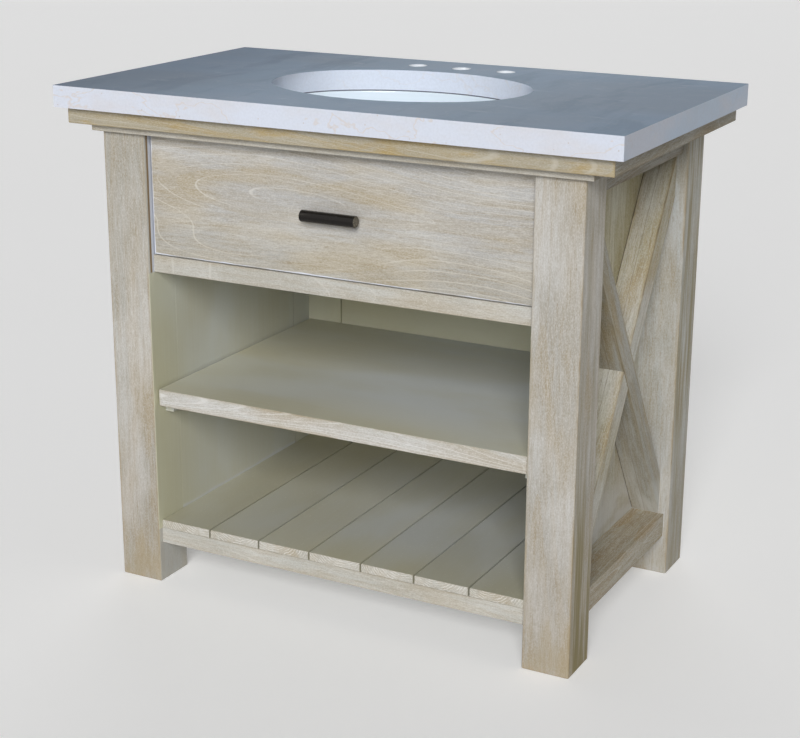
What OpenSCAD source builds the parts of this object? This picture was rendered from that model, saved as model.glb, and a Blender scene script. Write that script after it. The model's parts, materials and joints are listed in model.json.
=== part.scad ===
// Vanity unit: a stone top with an oval undermount basin on a limed-wood carcase that has
// four posts, X-braced sides, one wide drawer, a middle shelf and a planked bottom shelf.
// The origin is on the floor under the middle of the stone: +X right, +Y to the wall, +Z up.

/* [Overall] */
// Height from the floor to the top face of the stone
unit_height = 914; // [870:1:960]
// Width over the outer faces of the posts
body_width = 900; // [820:1:1200]
// Depth over the front and rear faces of the posts
body_depth = 561; // [545:1:620]

/* [Stone top] */
// Thickness of the stone
stone_thickness = 38; // [20:1:45]
// Stone beyond the posts at each side
stone_side_overhang = 72; // [60:1:110]
// Stone beyond the posts at the front
stone_front_overhang = 41; // [30:1:60]
// Stone beyond the posts at the rear
stone_rear_overhang = 6; // [5:1:20]
// Length of the oval cut-out, across the unit
cutout_length = 470; // [440:1:500]
// Width of the oval cut-out, front to back
cutout_width = 357; // [330:1:366]
// Radius of the round ends of the cut-out
cutout_end_radius = 150; // [120:1:156]
// Middle of the cut-out behind the front edge of the stone
cutout_setback = 295; // [291:1:300]
// Diameter of each faucet hole
faucet_hole = 35; // [28:1:38]
// Distance from one faucet hole to the next
faucet_spacing = 90; // [60:1:120]
// Middle of the faucet holes in front of the rear edge of the stone
faucet_setback = 74; // [50:1:80]

/* [Basin] */
// Depth of the bowl below the underside of the stone
basin_depth = 150; // [120:1:155]
// Wall of the bowl under its flange
basin_wall = 9; // [7:0.5:10]
// Thickness of the floor of the bowl
basin_floor = 10; // [7:0.5:12]
// Width of the flange outside the cut-out
flange_width = 20; // [15:1:22]
// Thickness of the flange
flange_thickness = 12; // [8:1:14]
// Diameter of the drain hole
drain_hole = 45; // [38:1:48]
// Size of the flat floor as a share of the cut-out
floor_share = 0.22; // [0.2:0.01:0.3]

/* [Cornice] */
// Height of the cornice boards
cornice_height = 28; // [20:1:35]
// Cornice beyond the posts at the front
cornice_front_reach = 26; // [20:1:29]
// Cornice beyond the posts at each side
cornice_side_reach = 54; // [30:1:59]
// Cornice beyond the posts at the rear
cornice_rear_reach = 4; // [0:1:5]
// Width of the front cornice board
cornice_front_width = 70; // [50:1:74]
// Width of each side cornice board
cornice_side_width = 110; // [90:1:125]
// Height of the bed moulding under the cornice
bed_height = 12; // [8:1:20]
// Bed moulding beyond the posts at the front
bed_front_reach = 11; // [6:1:16]
// Bed moulding beyond the posts at each side
bed_side_reach = 16; // [6:1:24]

/* [Posts and rails] */
// Side of each square post
post_size = 85; // [70:1:95]
// Side rails and bottom front rail behind the faces of the posts
rail_setback = 10; // [5:1:15]
// Height of the side top rails
side_top_rail_height = 50; // [35:1:80]
// Height of the side and front bottom rails
bottom_rail_height = 45; // [35:1:60]
// Height from the floor to the top of the deck
deck_height = 120; // [90:1:160]
// Height of the front top rail
front_top_rail_height = 14; // [12:1:30]
// Depth of the front top rail
front_top_rail_depth = 50; // [35:1:52]
// Height of the rail under the drawer
drawer_rail_height = 31; // [25:1:50]
// Depth of the rail under the drawer
drawer_rail_depth = 50; // [40:1:70]
// Length of the tenons in the posts
tenon_length = 25; // [15:1:32]
// Shoulder of the side rails' tenons
side_shoulder = 20; // [15:1:24]
// Shoulder of the cross rails' tenons
cross_shoulder = 8; // [5:1:12]
// Room past the end of each tenon
tenon_room = 1; // [0.5:0.5:3]
// Length of the bearer's tenons in the side bottom rails
bearer_tenon = 20; // [12:1:40]

/* [Side panels and braces] */
// Thickness of the side panels
panel_thickness = 12; // [8:1:15]
// Depth of the rebate that holds each side panel
panel_rebate = 8; // [5:1:12]
// Width of the braces across their length
brace_width = 42; // [30:1:60]
// Depth of the braces from the panel outwards
brace_depth = 53; // [30:1:62]

/* [Deck and shelf] */
// Thickness of the deck planks
plank_thickness = 16; // [14:1:22]
// Open joint between two planks
plank_joint = 3; // [1:0.5:6]
// Tongue of each plank: its thickness and its reach into the next plank
plank_tongue = 5; // [4:0.5:6]
// Start of the tongues behind the front ends of the planks
tongue_setback = 24; // [15:1:60]
// Thickness of the bottom front rail under the planks
bottom_rail_thickness = 40; // [24:1:60]
// Width of the bearer under the middle of the deck
bearer_width = 40; // [25:1:60]
// Height of the bearer and the bottom rear rail
bearer_height = 22; // [18:1:25]
// Height from the floor to the top of the middle shelf
shelf_height = 373; // [300:1:440]
// Thickness of the middle shelf
shelf_thickness = 31; // [18:1:40]
// Front edge of the shelf behind the front of the posts
shelf_setback = 10; // [5:1:60]
// Room at each end of the shelf
shelf_gap = 3; // [1:0.5:6]
// Room behind the shelf
shelf_rear_gap = 1; // [0.5:0.5:4]
// Radius of the shelf's front corners
shelf_corner = 3; // [2:1:15]
// Width of the shelf cleats
cleat_width = 17; // [12:1:30]
// Height of the shelf cleats
cleat_height = 17; // [10:1:30]
// Cleats behind the front edge of the shelf
cleat_setback = 24; // [5:1:60]

/* [Back] */
// Thickness of the boards of the back
back_thickness = 16; // [14:1:20]
// Width of each stile of the back
back_stile_width = 75; // [50:1:110]
// Open joint between a stile and the back panel
back_joint = 3; // [1:0.5:6]
// Thickness of the tongues in the back
back_tongue = 6; // [4:1:7]
// Depth of the grooves in the back
back_groove = 8; // [5:1:12]
// Height of the pipe opening under the back top rail
pipe_opening = 198; // [120:1:260]

/* [Drawer] */
// Height of the opening for the drawer front
drawer_opening_height = 214; // [210:1:240]
// Gap round the drawer front
drawer_gap = 2; // [1:0.5:4]
// Drawer front behind the front of the posts
drawer_setback = 17; // [8:1:18]
// Thickness of the drawer front
drawer_front_thickness = 20; // [16:1:22]
// Depth of the drawer box behind its front
box_depth = 416; // [405:1:425]
// Thickness of the sides of the drawer box
box_wall = 12; // [9:1:15]
// Thickness of the inner front
inner_front_thickness = 15; // [12:1:18]
// Height of the sides of the drawer box
box_height = 110; // [90:1:150]
// Drawer box above the rail below it
box_lift = 16; // [6:1:24]
// Thickness of the drawer bottom
bottom_thickness = 8; // [6:1:10]
// Drawer bottom above the lower edge of the sides
bottom_rise = 8; // [5:1:12]
// Depth of the groove for the drawer bottom
bottom_groove = 5; // [3:1:7]
// Gap between the low boards of the drawer and the bowl
bowl_gap = 10; // [5:1:20]
// Half of the width of the notch for the drain pipe
notch_half_width = 90; // [60:1:140]
// Front of the notch before the middle of the drain
notch_reach = 73; // [50:1:85]
// Length of the bar pull
pull_length = 104; // [84:1:200]
// Diameter of the bar pull
pull_diameter = 20; // [12:1:22]
// Chamfer on the ends of the bar pull
pull_chamfer = 1.2; // [0.5:0.1:3]
// Middle of the bar pull in front of the drawer front
pull_projection = 16; // [14:1:26]
// Distance between the standoffs of the bar pull
standoff_spacing = 64; // [50:1:70]
// Diameter of the standoffs
standoff_diameter = 8; // [7:1:10]
// Depth of the standoffs in the bar
standoff_seat = 5; // [3:1:7]
// Diameter of the screws that hold the pull
pull_screw = 4; // [3:0.5:5]

/* [Slides] */
// Thickness of a slide from the carcase to the drawer
slide_thickness = 12.7; // [12:0.1:14]
// Height of the slide rails
slide_height = 45; // [36:1:50]
// Length of the slide rails
slide_length = 400; // [350:1:400]
// Sheet that the outer rails are rolled from
slide_sheet = 1.2; // [1:0.1:1.5]
// Running gap between the rails
slide_gap = 0.4; // [0.3:0.05:0.6]
// Lip that holds the middle rail
slide_lip = 3.5; // [2.5:0.5:5]
// Middle of the slides above the lower edge of the drawer box
slide_rise = 54; // [40:1:70]
// Front end of the slides behind the drawer front
slide_inset = 2; // [1:1:10]

/* [Hidden] */
$fn = 64;
plank_count = 7;
// Pieces of one solid sink into each other by a hair, and cuts run past the faces that they open
hair = 0.01;
past = 1;

// Levels from the floor
stone_bottom = unit_height - stone_thickness;
post_top = stone_bottom - cornice_height;
bay_top = post_top - side_top_rail_height;
opening_top = post_top - front_top_rail_height;
opening_bottom = opening_top - drawer_opening_height;
drawer_rail_bottom = opening_bottom - drawer_rail_height;
deck_under = deck_height - plank_thickness;
rail_bottom = deck_height - bottom_rail_height;
shelf_under = shelf_height - shelf_thickness;
bowl_bottom = stone_bottom - basin_depth - basin_floor;
back_panel_top = bay_top - pipe_opening;

// Places across the unit, as half-widths
post_out = body_width / 2;
post_in = post_out - post_size;
rail_out = post_out - rail_setback;
panel_out = post_in + panel_thickness;
brace_out = panel_out + brace_depth;
stile_in = post_in - back_stile_width;

// Places from front to back
stone_width = body_width + 2 * stone_side_overhang;
stone_depth = body_depth + stone_front_overhang + stone_rear_overhang;
stone_front = -stone_depth / 2;
stone_rear = stone_depth / 2;
front_face = stone_front + stone_front_overhang;
rear_face = stone_rear - stone_rear_overhang;
bay_front = front_face + post_size;
bay_rear = rear_face - post_size;
back_inside = rear_face - back_thickness;
cutout_middle = stone_front + cutout_setback;
// The faucet holes stay behind the basin's flange
faucet_middle = max(
    stone_rear - faucet_setback,
    cutout_middle + cutout_width / 2 + flange_width + faucet_hole / 2 + 2
);
deck_front = front_face + rail_setback;

// Side panel and the rebate round it
panel_low = deck_height - panel_rebate;
panel_high = bay_top + panel_rebate;

// Braces: each edge of a brace ends in a corner of the bay between the posts
bay_half_depth = (bay_rear - bay_front) / 2;
bay_half_height = (bay_top - deck_height) / 2;
bay_middle = [(bay_rear + bay_front) / 2, (bay_top + deck_height) / 2];
bay_diagonal = norm([bay_half_depth, bay_half_height]);
brace_angle = acos(brace_width / 2 / bay_diagonal) - atan(bay_half_depth / bay_half_height);

// Drawer
drawer_front_face = front_face + drawer_setback;
box_front = drawer_front_face + drawer_front_thickness;
box_rear = box_front + box_depth;
box_out = post_in - slide_thickness;
box_in = box_out - box_wall;
box_bottom = opening_bottom + box_lift;
bottom_low = box_bottom + bottom_rise;
bottom_high = bottom_low + bottom_thickness;
low_top = bowl_bottom - bowl_gap;
notch_front = cutout_middle - notch_reach;
drawer_front_low = opening_bottom + drawer_gap;
drawer_front_high = opening_top - drawer_gap;
pull_height = (drawer_front_low + drawer_front_high) / 2;
pull_axis = drawer_front_face - pull_projection;
screw_room = 0.15;
screw_head = [7, 2.6];
screw_reach = 8;

// Slides
slide_front = box_front + slide_inset;
slide_middle_height = box_bottom + slide_rise;

// Basin clips under the flange, just inside the round ends' arcs
clip_sheet = 2;
clip_width = 20;
clip_grip = flange_width - basin_wall - 1;
clip_reach = 34;
clip_stud = 16;
clip_room = 0.3;
clip_turn = 6;
stud_diameter = 6;
stud_length = 30;
stud_base = [18, 2];
wing_nut = [11, 7];
wing = [26, 2, 9];

wood = [0.76, 0.71, 0.62];
paint = [0.58, 0.58, 0.5];
stone = [0.86, 0.84, 0.82];
glaze = [0.97, 0.97, 0.96];
bronze = [0.16, 0.13, 0.11];
steel = [0.7, 0.71, 0.73];

// A box between two corners
module block(low, high) {
    translate(low) cube(high - low);
}

// A profile drawn in Y and Z, run along X
module along_x(low, high) {
    translate([low, 0, 0]) rotate([90, 0, 90]) linear_extrude(high - low) children();
}

// A profile drawn in X and Z, run along Y
module along_y(low, high) {
    translate([0, high, 0]) rotate([90, 0, 0]) linear_extrude(high - low) children();
}

// The piece as drawn for the right side, or its mirror image for the left
module on_side(side) {
    mirror([side == "left" ? 1 : 0, 0, 0]) children();
}

// The oval is made of four arcs that meet without a corner
function side_radius(a, b, r) = (b * b + (a - r) * (a - r) - r * r) / (2 * (b - r));

// An oval of half-length a and half-width b, with round ends of radius r. Each side arc meets
// an end arc in a very blunt corner, a little past the direction in which they would be tangent.
module oval(a, b, r) {
    blunt = 1.5;
    lean = atan((side_radius(a, b, r) - b) / (a - r));
    corner = [a - r + r * cos(lean - blunt), r * sin(lean - blunt)];
    drop = (corner * corner - b * b) / (2 * (b - corner[1]));
    intersection() {
        translate([0, -drop]) circle(b + drop, $fn = 180);
        translate([0, drop]) circle(b + drop, $fn = 180);
        union() {
            square([2 * (a - r + r * cos(lean)), 2 * (b + past)], center = true);
            for (end = [-1, 1])
                translate([end * (a - r), 0]) circle(r, $fn = 120);
        }
    }
}

// The point of the same oval where its outward direction has the given angle
function oval_point(a, b, r, angle) =
    let (
        c = cos(angle),
        s = sin(angle),
        side = side_radius(a, b, r),
        on_end = abs(s) * (a - r) < abs(c) * (side - b)
    )
    on_end
        ? [sign(c) * (a - r) + r * c, r * s]
        : [side * c, side * s - sign(s) * (side - b)];

// The tenons of a side rail, as one bar through it into both posts
module side_tenons(low, high, room = 0) {
    block(
        [post_in + side_shoulder, bay_front - tenon_length - room, low + cross_shoulder],
        [rail_out - side_shoulder, bay_rear + tenon_length + room, high - cross_shoulder]
    );
}

// The tenons of a cross rail, as one bar through it into both posts
module cross_tenons(front, rear, low, high, room = 0) {
    reach = post_in + tenon_length + room;
    block([-reach, front, low], [reach, rear, high]);
}

module front_top_tenons(room = 0) {
    inset = front_top_rail_height / 5;
    cross_tenons(
        front_face + cross_shoulder,
        front_face + front_top_rail_depth - cross_shoulder,
        opening_top + inset,
        post_top - inset,
        room
    );
}

module drawer_rail_tenons(room = 0) {
    cross_tenons(
        drawer_front_face + cross_shoulder,
        drawer_front_face + drawer_rail_depth - cross_shoulder,
        drawer_rail_bottom + cross_shoulder,
        opening_bottom - cross_shoulder,
        room
    );
}

module bottom_front_tenons(room = 0) {
    cross_tenons(
        deck_front + cross_shoulder,
        deck_front + bottom_rail_thickness - cross_shoulder,
        rail_bottom + cross_shoulder,
        deck_under - cross_shoulder / 2,
        room
    );
}

module bottom_rear_tenons(room = 0) {
    cross_tenons(
        back_inside - bearer_width + cross_shoulder,
        back_inside - cross_shoulder,
        deck_under - bearer_height + cross_shoulder / 2,
        deck_under - cross_shoulder / 2,
        room
    );
}

// The space that a side panel and its rebates share
module panel_space() {
    block(
        [post_in, bay_front - panel_rebate, panel_low],
        [panel_out, bay_rear + panel_rebate, panel_high]
    );
}

// The tongue of a back stile in its post
module stile_tongue(room = 0) {
    middle = back_inside + back_thickness / 2;
    block(
        [post_in - hair, middle - back_tongue / 2, rail_bottom],
        [post_in + back_groove + room, middle + back_tongue / 2, post_top]
    );
}

module countertop() {
    color(stone)
    difference() {
        block([-stone_width / 2, stone_front, stone_bottom], [stone_width / 2, stone_rear, unit_height]);
        translate([0, cutout_middle, stone_bottom - past])
            linear_extrude(stone_thickness + 2 * past)
                oval(cutout_length / 2, cutout_width / 2, cutout_end_radius);
        for (step = [-1:1])
            translate([step * faucet_spacing, faucet_middle, stone_bottom - past])
                cylinder(h = stone_thickness + 2 * past, d = faucet_hole);
    }
}

// The basin is one skin: up the outside, over the flange and down the inside
module sink_basin() {
    a = cutout_length / 2;
    b = cutout_width / 2;
    r = cutout_end_radius;
    around = 64;
    steps = 8;
    fullness = 0.77;
    drop = basin_depth + basin_floor - flange_thickness;
    // Each ring: growth past the cut-out, scale, depth below the stone
    function shrink(u) = floor_share + (1 - floor_share) * pow(cos(u), fullness);
    outside = [for (i = [steps:-1:0])
        let (u = 90 * i / steps)
        [basin_wall, shrink(u), flange_thickness + drop * pow(sin(u), fullness)]];
    rim = [[flange_width, 1, flange_thickness], [flange_width, 1, 0]];
    inside = [for (i = [0:steps])
        let (u = 90 * i / steps)
        [0, shrink(u), basin_depth * pow(sin(u), fullness)]];
    rings = concat(outside, rim, inside);
    points = [for (ring = rings, j = [0:around - 1])
        let (p = oval_point(a + ring[0], b + ring[0], r + ring[0], 360 * j / around) * ring[1])
        [p[0], p[1], -ring[2]]];
    last = (len(rings) - 1) * around;
    skin = [for (i = [0:len(rings) - 2], j = [0:around - 1], half = [0, 1])
        let (k = i * around, next = (j + 1) % around)
        half == 0
            ? [k + j, k + around + next, k + next]
            : [k + j, k + around + j, k + around + next]];
    outer_cap = [for (j = [0:around - 1]) j];
    inner_cap = [for (j = [around - 1:-1:0]) last + j];
    color(glaze)
    translate([0, cutout_middle, stone_bottom])
        difference() {
            polyhedron(points, concat(skin, [outer_cap, inner_cap]));
            translate([0, 0, -basin_depth - basin_floor - past])
                cylinder(h = basin_floor + 2 * past, d = drain_hole);
        }
}

// A plate that grips the flange, with its heel on the stone and its stud and wing nut
module basin_clip() {
    edge = cutout_end_radius + flange_width;
    plate_top = -flange_thickness;
    plate_bottom = plate_top - clip_sheet;
    stud_place = edge + clip_stud;
    difference() {
        translate([0, clip_width / 2, 0])
            rotate([90, 0, 0])
                linear_extrude(clip_width)
                    polygon([
                        [edge - clip_grip, plate_bottom],
                        [edge + clip_reach, plate_bottom],
                        [edge + clip_reach, 0],
                        [edge + clip_reach - clip_sheet, 0],
                        [edge + clip_reach - clip_sheet, plate_top],
                        [edge - clip_grip, plate_top]
                    ]);
        translate([stud_place, 0, plate_bottom - past])
            cylinder(h = clip_sheet + 2 * past, d = stud_diameter + 2 * clip_room);
    }
    translate([stud_place, 0, 0]) {
        translate([0, 0, -stud_base[1]]) cylinder(h = stud_base[1], d = stud_base[0]);
        translate([0, 0, -stud_length]) cylinder(h = stud_length, d = stud_diameter);
        translate([0, 0, plate_bottom - wing_nut[1]]) cylinder(h = wing_nut[1], d = wing_nut[0]);
        translate([-wing[0] / 2, -wing[1] / 2, plate_bottom - wing[2]]) cube([wing[0], wing[1], wing_nut[1]]);
    }
}

module basin_clips() {
    a = cutout_length / 2;
    b = cutout_width / 2;
    end = a - cutout_end_radius;
    turn = atan((side_radius(a, b, cutout_end_radius) - b) / end) - clip_turn;
    color(steel)
    for (angle = [turn, 180 - turn, 180 + turn, -turn])
        translate([sign(cos(angle)) * end, cutout_middle, stone_bottom])
            rotate([0, 0, angle])
                basin_clip();
}

// Outer corners of the cornice
cornice_x = post_out + cornice_side_reach;
cornice_y = front_face - cornice_front_reach;
mitre_x = cornice_x - cornice_front_width;
mitre_y = cornice_y + cornice_front_width;

module cornice_front() {
    color(wood)
    translate([0, 0, post_top])
        linear_extrude(cornice_height)
            polygon([
                [-cornice_x, cornice_y],
                [cornice_x, cornice_y],
                [mitre_x, mitre_y],
                [-mitre_x, mitre_y]
            ]);
}

module cornice_end(side) {
    inner = cornice_x - cornice_side_width;
    rear = rear_face + cornice_rear_reach;
    color(wood)
    on_side(side)
        translate([0, 0, post_top])
            linear_extrude(cornice_height)
                polygon([
                    [cornice_x, cornice_y],
                    [cornice_x, rear],
                    [inner, rear],
                    [inner, mitre_y],
                    [mitre_x, mitre_y]
                ]);
}

// Outer corners of the bed moulding
bed_x = post_out + bed_side_reach;
bed_y = front_face - bed_front_reach;
bed_bottom = post_top - bed_height;

module bed_mould_front() {
    color(wood)
    translate([0, 0, bed_bottom])
        linear_extrude(bed_height)
            polygon([[-bed_x, bed_y], [bed_x, bed_y], [post_out, front_face], [-post_out, front_face]]);
}

module bed_mould_end(side) {
    color(wood)
    on_side(side)
        translate([0, 0, bed_bottom])
            linear_extrude(bed_height)
                polygon([[bed_x, bed_y], [bed_x, rear_face], [post_out, rear_face], [post_out, front_face]]);
}

module post_front(side) {
    color(wood)
    on_side(side)
        difference() {
            block([post_in, front_face, 0], [post_out, bay_front, post_top]);
            side_tenons(bay_top, post_top, tenon_room);
            side_tenons(rail_bottom, deck_height, tenon_room);
            front_top_tenons(tenon_room);
            drawer_rail_tenons(tenon_room);
            bottom_front_tenons(tenon_room);
            panel_space();
        }
}

module post_rear(side) {
    color(wood)
    on_side(side)
        difference() {
            block([post_in, bay_rear, 0], [post_out, rear_face, post_top]);
            side_tenons(bay_top, post_top, tenon_room);
            side_tenons(rail_bottom, deck_height, tenon_room);
            bottom_rear_tenons(tenon_room);
            stile_tongue(tenon_room);
            panel_space();
        }
}

module front_top_rail() {
    color(wood)
    union() {
        block(
            [-post_in, front_face, opening_top],
            [post_in, front_face + front_top_rail_depth, post_top]
        );
        front_top_tenons();
    }
}

module drawer_rail() {
    color(wood)
    union() {
        block(
            [-post_in, drawer_front_face, drawer_rail_bottom],
            [post_in, drawer_front_face + drawer_rail_depth, opening_bottom]
        );
        drawer_rail_tenons();
    }
}

module side_top_rail(side) {
    color(wood)
    on_side(side)
        difference() {
            union() {
                block([post_in, bay_front, bay_top], [rail_out, bay_rear, post_top]);
                side_tenons(bay_top, post_top);
            }
            panel_space();
        }
}

module side_bottom_rail(side) {
    color(wood)
    on_side(side)
        difference() {
            union() {
                block([post_in, bay_front, rail_bottom], [rail_out, bay_rear, deck_height]);
                side_tenons(rail_bottom, deck_height);
            }
            panel_space();
            bearer_tenons(tenon_room);
        }
}

module side_panel(side) {
    color(paint)
    on_side(side) panel_space();
}

// The bay between the posts, and a bar across it, both seen from the right
module bay() {
    translate(bay_middle) square([2 * bay_half_depth, 2 * bay_half_height], center = true);
}

module brace_bar(turn) {
    translate(bay_middle)
        rotate(turn * brace_angle)
            square([2 * bay_diagonal, brace_width], center = true);
}

// The long brace falls from the front post to the rear post
module brace_long(side) {
    color(wood)
    on_side(side)
        along_x(panel_out, brace_out)
            intersection() {
                bay();
                brace_bar(-1);
            }
}

// A short brace is the part of the other bar above or below the long brace
module brace_short(side, above) {
    half = bay_half_height;
    color(wood)
    on_side(side)
        along_x(panel_out, brace_out)
            difference() {
                intersection() {
                    bay();
                    brace_bar(1);
                    translate(bay_middle + [0, above * half])
                        square([2 * bay_half_depth, 2 * half], center = true);
                }
                brace_bar(-1);
            }
}

module back_stile(side) {
    middle = back_inside + back_thickness / 2;
    color(paint)
    on_side(side)
        difference() {
            union() {
                block([stile_in, back_inside, rail_bottom], [post_in, rear_face, stone_bottom]);
                stile_tongue();
            }
            block(
                [stile_in - past, middle - back_tongue / 2, rail_bottom - past],
                [stile_in + back_groove + tenon_room, middle + back_tongue / 2, stone_bottom + past]
            );
        }
}

// A board of the back, with a tongue at each end
module back_board(half_width, low, high) {
    middle = back_inside + back_thickness / 2;
    tip = stile_in + back_groove;
    color(paint)
    union() {
        block([-half_width, back_inside, low], [half_width, rear_face, high]);
        block([-tip, middle - back_tongue / 2, low], [tip, middle + back_tongue / 2, high]);
    }
}

module back_panel() {
    back_board(stile_in - back_joint, rail_bottom, back_panel_top);
}

module back_top_rail() {
    back_board(stile_in, bay_top, stone_bottom);
}

// The pitch of the planks, and the middle of the joint before each plank
pitch = 2 * post_in / plank_count;
function joint_place(i) = -post_in + (i - 1) * pitch;

module bottom_front_rail() {
    color(wood)
    union() {
        block([-post_in, deck_front, rail_bottom], [post_in, deck_front + bottom_rail_thickness, deck_under]);
        bottom_front_tenons();
    }
}

module bottom_rear_rail() {
    color(wood)
    union() {
        block(
            [-post_in, back_inside - bearer_width, deck_under - bearer_height],
            [post_in, back_inside, deck_under]
        );
        bottom_rear_tenons();
    }
}

module bearer_tenons(room = 0) {
    middle = (deck_front + back_inside) / 2;
    half = bearer_width / 2 - cross_shoulder;
    reach = post_in + bearer_tenon + room;
    block(
        [-reach, middle - half, deck_under - bearer_height + cross_shoulder / 2],
        [reach, middle + half, deck_under - cross_shoulder / 2]
    );
}

module centre_bearer() {
    middle = (deck_front + back_inside) / 2;
    color(wood)
    union() {
        block(
            [-post_in, middle - bearer_width / 2, deck_under - bearer_height],
            [post_in, middle + bearer_width / 2, deck_under]
        );
        bearer_tenons();
    }
}

// A plank shows its end over the front rail. Behind that it has a groove towards the plank before it
// and a tongue into the next one
module plank(i) {
    left = joint_place(i) + (i > 1 ? plank_joint / 2 : 0);
    right = joint_place(i + 1) - (i < plank_count ? plank_joint / 2 : 0);
    middle = (deck_height + deck_under) / 2;
    play = 0.3;
    start = deck_front + tongue_setback;
    color(paint)
    difference() {
        union() {
            block([left, deck_front, deck_under], [right, back_inside, deck_height]);
            if (i < plank_count)
                block(
                    [right - hair, start, middle - plank_tongue / 2],
                    [right + plank_joint + plank_tongue, back_inside, middle + plank_tongue / 2]
                );
        }
        if (i > 1)
            block(
                [left - past, start - play, middle - plank_tongue / 2 - play],
                [left + plank_tongue + play, back_inside + past, middle + plank_tongue / 2 + play]
            );
    }
}

module middle_shelf() {
    half = post_in - shelf_gap;
    front = front_face + shelf_setback;
    rear = back_inside - shelf_rear_gap;
    color(paint)
    translate([0, 0, shelf_under])
        linear_extrude(shelf_thickness)
            union() {
                translate([-half, front + shelf_corner])
                    square([2 * half, rear - front - shelf_corner]);
                translate([-half + shelf_corner, front])
                    square([2 * (half - shelf_corner), shelf_corner + hair]);
                for (end = [-1, 1])
                    translate([end * (half - shelf_corner), front + shelf_corner])
                        circle(shelf_corner);
            }
}

module shelf_cleat(side) {
    color(paint)
    on_side(side)
        block(
            [post_in - cleat_width, front_face + shelf_setback + cleat_setback, shelf_under - cleat_height],
            [post_in, back_inside, shelf_under]
        );
}

// The drawer's screws and their holes, drawn wider by the room round them
module pull_screw_set(room = 0) {
    head_face = box_front + inner_front_thickness;
    tip = drawer_front_face - screw_reach - room;
    for (end = [-1, 1])
        translate([end * standoff_spacing / 2, tip, pull_height])
            rotate([-90, 0, 0])
                cylinder(h = head_face - tip + hair, d = pull_screw + 2 * room);
}

module drawer_front() {
    half = post_in - drawer_gap;
    color(wood)
    difference() {
        block([-half, drawer_front_face, drawer_front_low], [half, box_front, drawer_front_high]);
        pull_screw_set(screw_room);
    }
}

module drawer_inner_front() {
    color(paint)
    difference() {
        block([-box_in, box_front, box_bottom], [box_in, box_front + inner_front_thickness, box_bottom + box_height]);
        bottom_board();
        pull_screw_set(screw_room);
    }
}

// The drawer bottom, which the sides and the inner front hold in their grooves
module bottom_board() {
    half = box_in + bottom_groove;
    front = box_front + inner_front_thickness - bottom_groove;
    difference() {
        block([-half, front, bottom_low], [half, box_rear, bottom_high]);
        block(
            [-notch_half_width, notch_front, bottom_low - past],
            [notch_half_width, box_rear + past, bottom_high + past]
        );
    }
}

module drawer_bottom() {
    color(paint) bottom_board();
}

module drawer_side(side) {
    color(paint)
    on_side(side)
        difference() {
            block([box_in, box_front, box_bottom], [box_out, box_rear, box_bottom + box_height]);
            block(
                [box_in - past, box_front + inner_front_thickness - bottom_groove, bottom_low],
                [box_in + bottom_groove, box_rear + past, bottom_high]
            );
        }
}

module drawer_backs() {
    color(paint)
    for (side = ["left", "right"])
        on_side(side)
            block(
                [notch_half_width + box_wall, box_rear - box_wall, bottom_high],
                [box_in, box_rear, low_top]
            );
}

// Three low boards round the notch
module drawer_notch() {
    color(paint)
    union() {
        for (side = ["left", "right"])
            on_side(side)
                block(
                    [notch_half_width, notch_front, bottom_high],
                    [notch_half_width + box_wall, box_rear, low_top]
                );
        block(
            [-notch_half_width - box_wall, notch_front - box_wall, bottom_high],
            [notch_half_width + box_wall, notch_front, low_top]
        );
    }
}

// A rolled outer rail, open towards the middle rail: u from its web, v from its middle
module channel_profile() {
    half = slide_height / 2;
    reach = slide_thickness / 2 - slide_gap;
    inner = half - slide_sheet;
    polygon([
        [0, -half], [reach, -half], [reach, -inner + slide_lip], [reach - slide_sheet, -inner + slide_lip],
        [reach - slide_sheet, -inner], [slide_sheet, -inner], [slide_sheet, inner],
        [reach - slide_sheet, inner], [reach - slide_sheet, inner - slide_lip], [reach, inner - slide_lip],
        [reach, half], [0, half]
    ]);
}

// The middle rail: a head in each outer rail, joined by a neck between their lips
module middle_profile() {
    near = slide_sheet + slide_gap;
    shoulder = slide_thickness / 2 - 2 * slide_gap - slide_sheet;
    head = slide_height / 2 - slide_sheet - slide_gap;
    neck = head - slide_lip;
    translate([near, -head]) square([shoulder - near, 2 * head]);
    translate([shoulder - hair, -neck]) square([slide_thickness - 2 * shoulder + 2 * hair, 2 * neck]);
    translate([slide_thickness - shoulder, -head]) square([shoulder - near, 2 * head]);
}

module slide_rail() {
    color(steel)
    along_y(slide_front, slide_front + slide_length)
        translate([post_in, slide_middle_height])
            mirror([1, 0])
                children();
}

module slide_outer(side) {
    on_side(side) slide_rail() channel_profile();
}

module slide_middle(side) {
    on_side(side) slide_rail() middle_profile();
}

module slide_inner(side) {
    on_side(side) slide_rail() translate([slide_thickness, 0]) mirror([1, 0]) channel_profile();
}

module pull_bar() {
    half = pull_length / 2;
    radius = pull_diameter / 2;
    color(bronze)
    difference() {
        translate([0, pull_axis, pull_height])
            rotate([0, 90, 0])
                rotate_extrude()
                    polygon([
                        [0, -half],
                        [radius - pull_chamfer, -half],
                        [radius, -half + pull_chamfer],
                        [radius, half - pull_chamfer],
                        [radius - pull_chamfer, half],
                        [0, half]
                    ]);
        standoff_set();
    }
}

// Round standoffs from the drawer front into blind seats in the bar
module standoff_set() {
    tip = pull_axis + pull_diameter / 2 - standoff_seat;
    for (end = [-1, 1])
        translate([end * standoff_spacing / 2, tip, pull_height])
            rotate([-90, 0, 0])
                cylinder(h = drawer_front_face - tip, d = standoff_diameter);
}

module pull_standoffs() {
    color(bronze)
    difference() {
        standoff_set();
        pull_screw_set(screw_room);
    }
}

module pull_screws() {
    head_face = box_front + inner_front_thickness;
    color(steel)
    union() {
        pull_screw_set();
        for (end = [-1, 1])
            translate([end * standoff_spacing / 2, head_face, pull_height])
                rotate([-90, 0, 0])
                    cylinder(h = screw_head[1], d = screw_head[0]);
    }
}

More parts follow.
